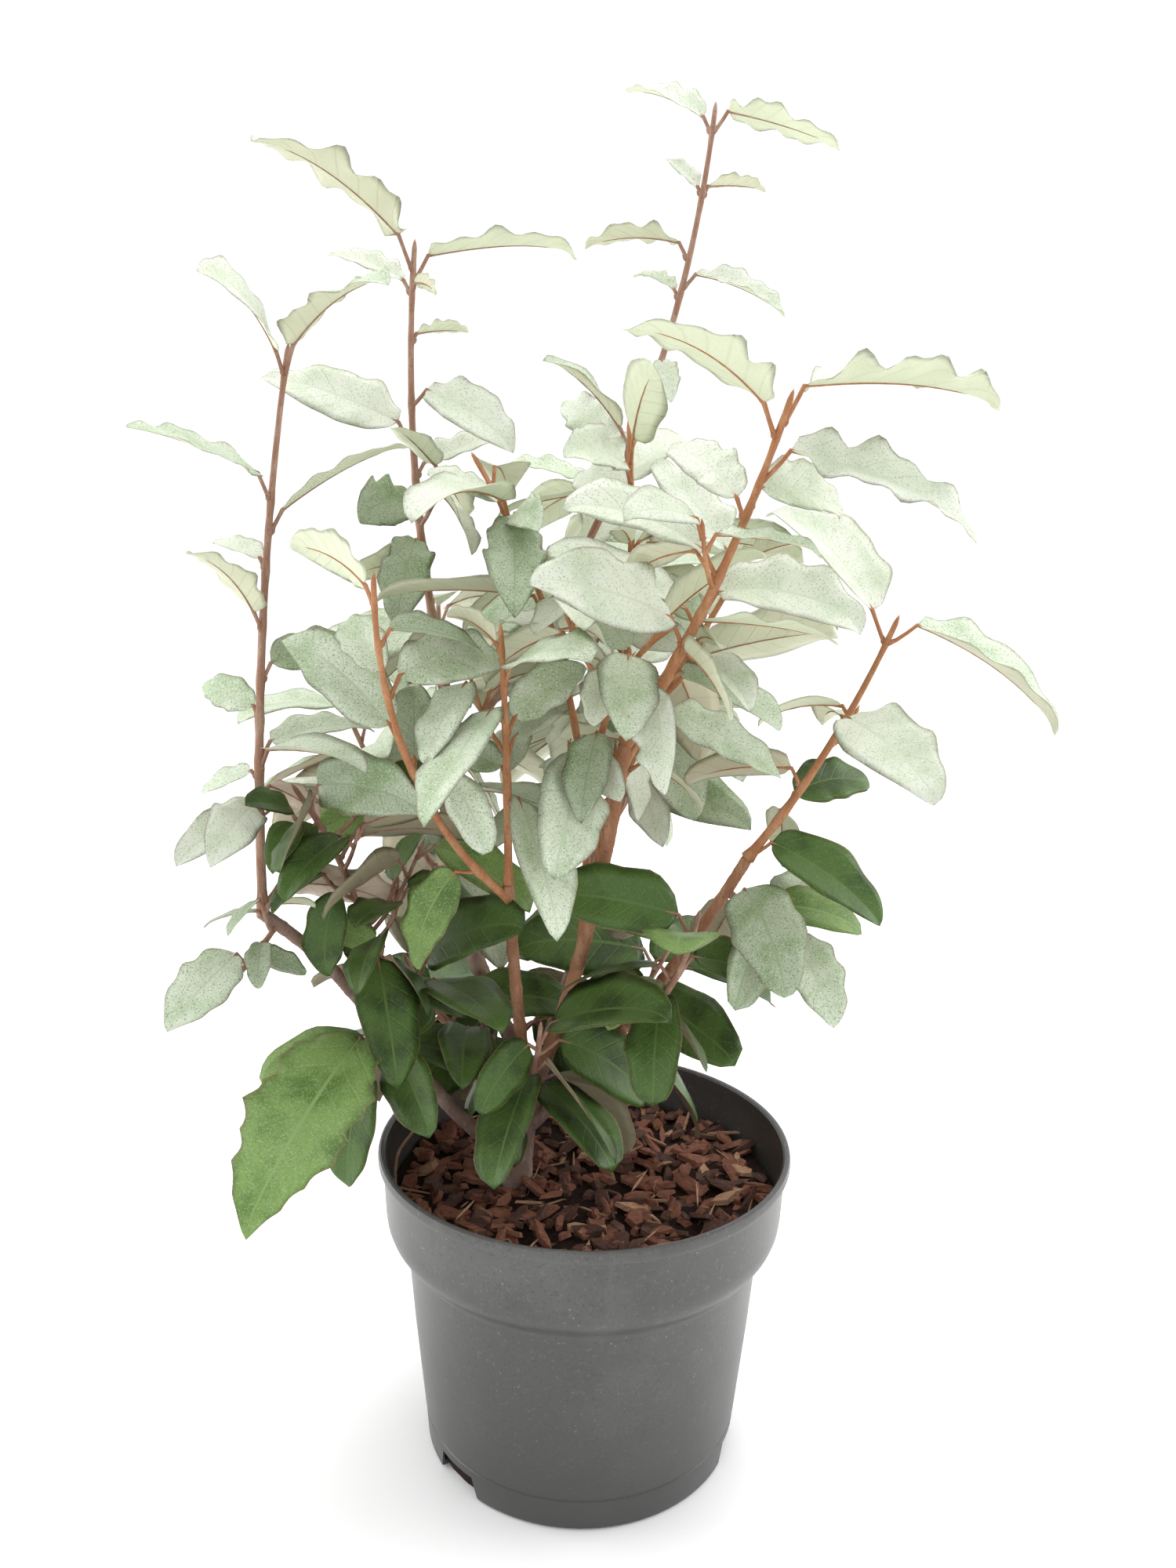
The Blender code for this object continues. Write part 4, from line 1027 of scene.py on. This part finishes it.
def makeLeaves():
    bags = {kind: Bag() for kind in leafLooks}
    stalks = {"rust": Bag(), "brown": Bag()}
    for number, placed in enumerate(placedLeaves):
        rng = random.Random(blade["seed"] + number)
        kind = leafKind(placed, rng)
        verts, faces, looks, places, stem = fineLeaf(placed, rng)
        node = placed.shoot.name + "_foliage"
        bags[kind].add(verts, faces, looks, node, places)
        stalks[stemTone(placed.shoot)].add(*stem, node=node)
    for kind, look in leafLooks.items():
        ribColour = [0.5 * (flesh + vein) for flesh, vein in zip(look["colour"], look["veins"][1])]
        rib = Finish(kind + "Rib", ribColour, leafSkin["ribRoughness"]).material
        skins = (leafTop(kind + "Top", look), leafUnder(kind + "Under", look["under"]), rib)
        piece = bags[kind].piece(kind, skins, look["slot"])
        print(kind, len(piece.data.polygons), "faces")
    return stalks


# Stems, twigs and buds

stems = {
    "sides": 7, "steps": 26, "per": 0.15, "fewest": 10, "swell": 0.24, "swellReach": 0.0022,
    "foot": (1.35, 1.1), "endBud": ((0.35, 1.05), (0.7, 1.0), (0.88, 0.6)),
    "twigSides": 5, "twigSteps": 8, "twigBud": (0.5, 0.85), "twigBudRadius": 1.1,
    "budSides": 5, "budSize": 0.0011, "budLean": 38, "budSpots": ((0, 0.6), (1.4, 0.75), (2.8, 0)),
    "budOut": 0.7, "stemTaper": 0.45, "twigRadius": 0.0009, "barkScale": 220, "barkRoughness": 0.75,
    "rust": (
        "right_front", "front_left", "front_middle", "centre", "centre_right", "centre_top",
        "right_back", "low_right",
    ),
    "barks": {  # colour, scurf and dark grain
        "rust": ((0.36, 0.155, 0.070), (0.50, 0.27, 0.14), (0.17, 0.065, 0.03)),
        "brown": ((0.29, 0.155, 0.105), (0.42, 0.29, 0.22), (0.13, 0.066, 0.046)),
    },
}


def stemTone(shoot):
    return "rust" if shoot.name in stems["rust"] else "brown"


def swollen(radii, path, feet):
    # Stems swell a little where a leaf stands.
    out = []
    for radius, point in zip(radii, path):
        near = min(((point - foot).length for foot in feet), default=1.0)
        out.append(radius * (1 + stems["swell"] * math.exp(-((near / stems["swellReach"]) ** 2))))
    return out


def axilBud(placed):
    # A small pointed bud above each leaf stalk.
    radius = stems["twigRadius"]
    if placed.kind in ("sky", "stem"):
        radius = placed.shoot.radius * (1 - stems["stemTaper"] * placed.share)
    ahead = heading(placed.leaf.bearing, stems["budLean"])
    start = placed.foot + heading(placed.leaf.bearing, 90) * radius * stems["budOut"]
    size = stems["budSize"]
    path = [start + ahead * size * out for out, wide in stems["budSpots"]]
    return tube(path, [size * wide for out, wide in stems["budSpots"]], stems["budSides"])


def makeStems(bags):
    for shoot in shoots:
        whole = limbPaths[shoot.name]
        feet = [placed.foot for placed in placedLeaves if placed.shoot is shoot]
        budFoot = topOf(shoot)
        steps = max(stems["fewest"], round(stems["steps"] * shoot.length / stems["per"]))
        path = stretch(whole, budFoot, steps)
        radii = swollen(taper(shoot.radius, growth["stemTip"], steps), path, feet)
        for number, factor in enumerate(stems["foot"]):
            radii[number] *= factor
        for share, wide in stems["endBud"]:
            path.append(along(whole, budFoot + (1 - budFoot) * share))
            radii.append(growth["stemTip"] * wide)
        solid = tube(path + [whole[-1].copy()], radii + [0], stems["sides"])
        bags[stemTone(shoot)].add(*solid, node=shoot.name + "_foliage")
    for shoot, twig in placedTwigs:
        bud = (twig[-1] - twig[-2]).normalized() * twigs["bud"]
        path = stretch(twig, 1.0, stems["twigSteps"]) + [twig[-1] + bud * share for share in stems["twigBud"]]
        radii = taper(twigs["radius"], twigs["tip"], stems["twigSteps"])
        radii += [twigs["tip"] * stems["twigBudRadius"], 0]
        bags[stemTone(shoot)].add(*tube(path, radii, stems["twigSides"]), node=shoot.name + "_foliage")
    for placed in placedLeaves:
        bags[stemTone(placed.shoot)].add(*axilBud(placed))
    for tone, colours in stems["barks"].items():
        bark = barkSkin(tone + "Bark", *colours, stems["barkScale"], stems["barkRoughness"])
        bags[tone].piece(tone + "Stems", (bark,), "bark")


# Trunk and boughs

limbs = {
    "sides": 16, "trunkSides": 24, "trunkSteps": 24, "step": 0.0025, "grain": 0.0009, "relief": 0.00035,
    "knots": 0.10, "knotGap": 0.021, "knotSharpness": 6, "uneven": 0.05, "unevenScale": 60,
    "smoothing": 0.5, "smoothings": 2,
    "ridges": (620, 150, 0, 0.7), "grains": (1500, 700, 7, 0.45),  # scales across and up, shift and share
    "young": ("right_bough", "low_right_bough", "front_bough"), "spots": 60, "youngFrom": 9,
    "barks": {  # colour, scurf, dark grain, scale and roughness
        "oldBark": ((0.23, 0.155, 0.125), (0.38, 0.29, 0.24), (0.10, 0.062, 0.048), 150, 0.85),
        "youngBark": ((0.31, 0.145, 0.078), (0.45, 0.26, 0.16), (0.14, 0.06, 0.034), 170, 0.8),
    },
}


def limbRadii(bough, steps, seed):
    out = []
    for step, radius in enumerate(taper(bough.radius, bough.tipRadius, steps)):
        share = step / steps
        knot = max(0.0, math.cos(2 * math.pi * share * bough.length / limbs["knotGap"] + seed))
        uneven = noise.noise(Vector((share * bough.length * limbs["unevenScale"], seed, 0)))
        out.append(radius * (1 + limbs["knots"] * knot ** limbs["knotSharpness"] + limbs["uneven"] * uneven))
    return out


def youngFaces(limb):
    # The younger boughs wear the redder bark: each face takes that of the limb it lies nearest.
    names = [bough.name for bough in boughs] + ["trunk"]
    count = limbs["spots"]
    spots = KDTree(len(names) * count)
    young = []
    for name in names:
        for step, spot in enumerate(stretch(limbPaths[name], 1, count - 1)):
            spots.insert(spot, len(young))
            young.append(int(name in limbs["young"] and step > limbs["youngFrom"]))
    spots.balance()
    return [young[spots.find(face.center)[1]] for face in limb.data.polygons]


def barkNoise(at, across, tall, shift, share):
    return share * noise.noise(Vector((at.x * across, at.y * across, at.z * tall + shift)))


def roughen(mesh):
    # Bark relief: long ridges and a finer grain, along the normals.
    work = bmesh.new()
    work.from_mesh(mesh)
    work.normal_update()
    for vert in work.verts:
        rise = barkNoise(vert.co, *limbs["ridges"]) + barkNoise(vert.co, *limbs["grains"])
        vert.co += vert.normal * limbs["relief"] * rise
    work.to_mesh(mesh)
    work.free()


def makeLimbs():
    # Tubes with knots, joined and remeshed so that the forks run into each other, with bark relief.
    steps = limbs["trunkSteps"]
    foot = Vector((*trunk["foot"], trunk["level"] + trunk["gap"]))
    path = grow(foot, trunk["bearing"], trunk["lean"], trunk["tipLean"], trunk["length"], steps)
    radii = []
    for step, radius in enumerate(taper(trunk["radius"], trunk["tipRadius"], steps)):
        height = trunk["length"] * step / steps
        radii.append(radius + (trunk["flare"] - trunk["radius"]) * math.exp(-height / trunk["flareFade"]))
    made = [meshObject("trunkBark", *tube(path, radii, limbs["trunkSides"], True))]
    for number, bough in enumerate(boughs):
        steps = round(bough.length / limbs["step"])
        path = stretch(limbPaths[bough.name], 1, steps)
        radii = limbRadii(bough, steps, number + 1)
        made.append(meshObject(bough.name + "Bark", *tube(path, radii, limbs["sides"])))
    bpy.ops.object.select_all(action="DESELECT")
    for obj in made:
        obj.select_set(True)
    bpy.context.view_layer.objects.active = made[0]
    bpy.ops.object.join()
    limb = bpy.context.active_object
    limb.name = "barkLimbs"
    modify(limb, "REMESH", mode="VOXEL", voxel_size=limbs["grain"])
    modify(limb, "SMOOTH", factor=limbs["smoothing"], iterations=limbs["smoothings"])
    roughen(limb.data)
    limb.data.materials.clear()
    for name, bark in limbs["barks"].items():
        limb.data.materials.append(barkSkin(name, *bark))
    smoothAll(limb.data)
    limb.data.polygons.foreach_set("material_index", youngFaces(limb))
    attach(limb, "root")
    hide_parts(*limbNodes)
    print("limbs:", len(limb.data.polygons), "faces")


# Soil

soil = {
    "chips": 740, "radius": 0.0865, "edge": 0.0905, "lengths": (0.008, 0.026), "shorter": (0.6, 1.0),
    "widths": (0.0035, 0.0095), "thick": (0.0014, 0.0040), "sides": (5, 6, 7), "turns": (-0.25, 0.25),
    "endsOut": (0.75, 1.1), "sidesOut": (0.6, 1.2), "topLong": (0.8, 0.98), "topWide": (0.7, 0.95),
    "topHigh": (0.5, 1), "bend": 0.25, "heights": (-0.0015, 0.0036), "tilts": (20, 17), "seed": 41,
    "splinters": 70, "splinterShape": (1.2, 0.16, 0.35), "splinterRise": 0.0022,
    "tones": {  # share, colour, pale grain and dark grain
        "darkChips": (0.36, (0.085, 0.040, 0.028), (0.17, 0.09, 0.06), (0.024, 0.012, 0.009)),
        "redChips": (0.58, (0.20, 0.080, 0.048), (0.34, 0.165, 0.105), (0.060, 0.024, 0.016)),
        "tanChips": (0.06, (0.38, 0.22, 0.13), (0.56, 0.38, 0.25), (0.14, 0.075, 0.045)),
    },
    "root": (
        (-0.058, 0.052, 0.1215), (-0.066, 0.046, 0.138), (-0.0745, 0.036, 0.1455), (-0.078, 0.020, 0.143),
        (-0.0832, 0.009, 0.1405), (-0.0862, -0.005, 0.1405), (-0.0862, -0.014, 0.138),
        (-0.0852, -0.021, 0.130), (-0.083, -0.027, 0.1215),
    ),
    "rootRadius": 0.0007, "rootFlare": 1.3, "rootSides": 8,
    "rootSkin": ((0.27, 0.17, 0.11), (0.42, 0.30, 0.21), (0.12, 0.07, 0.045)),
}


def chipShape(rng):
    # A splinter of bark: a flat irregular polygon with a thickness.
    def draw(key):
        return rng.uniform(*soil[key])

    length = draw("lengths") * draw("shorter")
    width = draw("widths")
    thick = draw("thick")
    sides = rng.choice(soil["sides"])
    low = []
    high = []
    for side in range(sides):
        turn = 2 * math.pi * (side + draw("turns")) / sides
        x = math.cos(turn) * length / 2 * draw("endsOut")
        y = math.sin(turn) * width / 2 * draw("sidesOut")
        bend = soil["bend"] * thick * math.sin(3 * x / length)
        low.append(Vector((x, y, bend - thick / 2)))
        high.append(Vector((x * draw("topLong"), y * draw("topWide"), bend + thick / 2 * draw("topHigh"))))
    faces = [tuple(reversed(range(sides))), tuple(range(sides, 2 * sides))]
    faces += [(side, (side + 1) % sides, sides + (side + 1) % sides, sides + side) for side in range(sides)]
    return low + high, faces


def placeChip(rng, number):
    # Strewn evenly over the soil, tilted a little and kept off the pot's wall.
    distance = soil["radius"] * math.sqrt(rng.random())
    turn = rng.uniform(0, 2 * math.pi)
    verts, faces = chipShape(rng)
    splinter = number < soil["splinters"]
    if splinter:
        verts = [Vector([part * grown for part, grown in zip(vert, soil["splinterShape"])]) for vert in verts]
    tilts = [math.radians(rng.gauss(0, tilt)) for tilt in soil["tilts"]]
    tilt = Matrix.Rotation(tilts[0], 4, "X") @ Matrix.Rotation(tilts[1], 4, "Y")
    spin = Matrix.Rotation(rng.uniform(0, 2 * math.pi), 4, "Z")
    height = trunk["level"] + rng.uniform(*soil["heights"]) + soil["splinterRise"] * splinter
    outward = Vector((distance * math.cos(turn), distance * math.sin(turn), 0))
    place = Matrix.Translation((*outward.xy, height)) @ spin @ tilt
    verts = [place @ vert for vert in verts]
    past = max(math.hypot(vert.x, vert.y) for vert in verts) - soil["edge"]
    if past > 0:
        inward = outward * (-past / max(distance, 0.01))
        verts = [vert + inward for vert in verts]
    shares = [row[0] for row in soil["tones"].values()]
    tone = "tanChips" if splinter else rng.choices(list(soil["tones"]), shares)[0]
    return tone, verts, faces


def makeSoil():
    rng = random.Random(soil["seed"])
    bags = {tone: Bag() for tone in soil["tones"]}
    for number in range(soil["chips"]):
        tone, verts, faces = placeChip(rng, number)
        bags[tone].add(verts, faces)
    for tone, (share, *colours) in soil["tones"].items():
        bags[tone].piece(tone, (woodChip(tone + "Wood", *colours),), "bark_chips", smooth=False)
    path = [Vector(spot) for spot in soil["root"]]
    for again in range(2):
        # Cutting the corners twice rounds the bends.
        cut = [here.lerp(there, share) for here, there in zip(path, path[1:]) for share in (0.25, 0.75)]
        path = [path[0], *cut, path[-1]]
    radii = taper(soil["rootFlare"] * soil["rootRadius"], soil["rootRadius"], len(path) - 1)
    root = Bag()
    root.add(*tube(path, radii, soil["rootSides"]))
    root.piece("looseRoot", (woodChip("rootSkin", *soil["rootSkin"]),), "bark_chips")
    ground = packedObject("soil").data
    ground.materials.clear()
    ground.materials.append(compost())


# Pot

pot = {
    "height": 0.147, "rim": 0.095, "collar": 0.091, "collarFoot": 0.113, "base": 0.073, "lip": 0.005,
    "wall": 0.0016, "floor": 0.0026, "faces": 96, "notches": (-138.5, -17.0, 101.0), "notchWidth": 0.024,
    "notchHeight": 0.011, "notchDepth": 0.016, "notchSpread": (1.2, 0.9), "notchBelow": 0.002, "sharp": 28,
}


def potProfile():
    # Radius and height, from the underside's middle up the outer side, over the lip and down the inside.
    top = pot["height"]
    lip = top - pot["lip"]
    rim = pot["rim"]
    collar = pot["collar"]
    foot = pot["collarFoot"]
    return (
        (0.030, 0.0006), (0.058, 0.0006), (0.060, 0.0), (0.0712, 0.0), (0.0726, 0.0006), (0.0731, 0.0018),
        (0.07405, 0.0146), (0.07365, 0.0151), (0.0737, 0.0157), (0.0743, 0.0162), (0.0788, 0.062),
        (0.0818, 0.0985), (0.0826, 0.1008), (0.0846, 0.1036), (0.0876, 0.1066), (0.0896, 0.1096),
        (collar, foot + 0.0004), (0.0916, foot + 0.005), (0.0926, lip - 0.0022), (0.0930, lip - 0.0008),
        (0.0944, lip - 0.0004), (rim - 0.0001, lip + 0.0008), (rim, lip + 0.0025),
        (rim - 0.0005, top - 0.0005), (rim - 0.0014, top), (rim - 0.0026, top - 0.0002),
        (rim - 0.0034, top - 0.0012), (rim - 0.0040, lip), (collar - pot["wall"], foot),
        (0.0862, 0.1066), (0.0808, 0.1000), (0.0722, 0.0060), (0.0712, pot["floor"]), (0.030, pot["floor"]),
    )


def makePot():
    profile = potProfile()
    bpy.ops.object.select_all(action="DESELECT")
    radius, height = profile[0]
    bpy.ops.mesh.primitive_circle_add(
        vertices=pot["faces"], radius=radius, fill_type="NGON", location=(0, 0, height)
    )
    obj = bpy.context.active_object
    obj.name = "nurseryPot"
    bpy.ops.object.mode_set(mode="EDIT")
    bpy.ops.mesh.select_all(action="SELECT")
    bpy.ops.mesh.flip_normals()
    bpy.ops.mesh.select_mode(type="EDGE")
    bpy.ops.mesh.region_to_loop()
    for nextRadius, nextHeight in profile[1:]:
        bpy.ops.mesh.extrude_edges_move(TRANSFORM_OT_translate={"value": (0, 0, nextHeight - height)})
        grown = nextRadius / radius
        bpy.ops.transform.resize(value=(grown, grown, 1), center_override=(0, 0, nextHeight))
        radius, height = nextRadius, nextHeight
    bpy.ops.mesh.edge_face_add()
    bpy.ops.mesh.select_all(action="SELECT")
    bpy.ops.mesh.normals_make_consistent(inside=False)
    bpy.ops.object.mode_set(mode="OBJECT")
    bpy.ops.object.transform_apply(location=True, rotation=True, scale=True)
    for bearing in pot["notches"]:
        cutNotch(obj, bearing)
    smoothAll(obj.data)
    bpy.ops.object.select_all(action="DESELECT")
    obj.select_set(True)
    bpy.context.view_layer.objects.active = obj
    bpy.ops.object.shade_smooth_by_angle(angle=math.radians(pot["sharp"]))
    obj.data.materials.clear()
    obj.data.materials.append(potPlastic())
    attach(obj, "root")
    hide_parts("pot")
    print("pot:", len(obj.data.polygons), "faces")


def cutNotch(obj, bearing):
    # A drain notch at the foot, wider below than above.
    bpy.ops.mesh.primitive_cube_add(size=1, location=(0, 0, 0))
    cutter = bpy.context.active_object
    tall = pot["notchHeight"] + pot["notchBelow"]
    for vert in cutter.data.vertices:
        out, across, up = vert.co
        across *= pot["notchWidth"] * pot["notchSpread"][up > 0]
        vert.co = (pot["base"] + out * pot["notchDepth"], across, (up + 0.5) * tall - pot["notchBelow"])
    cutter.data.transform(Matrix.Rotation(math.radians(bearing), 4, "Z"))
    modify(obj, "BOOLEAN", operation="DIFFERENCE", solver="EXACT", object=cutter)
    bpy.data.objects.remove(cutter, do_unlink=True)


makePot()
makeSoil()
print("pot and soil made")
makeLimbs()
stalkBags = makeLeaves()
makeStems(stalkBags)
print("plant made")
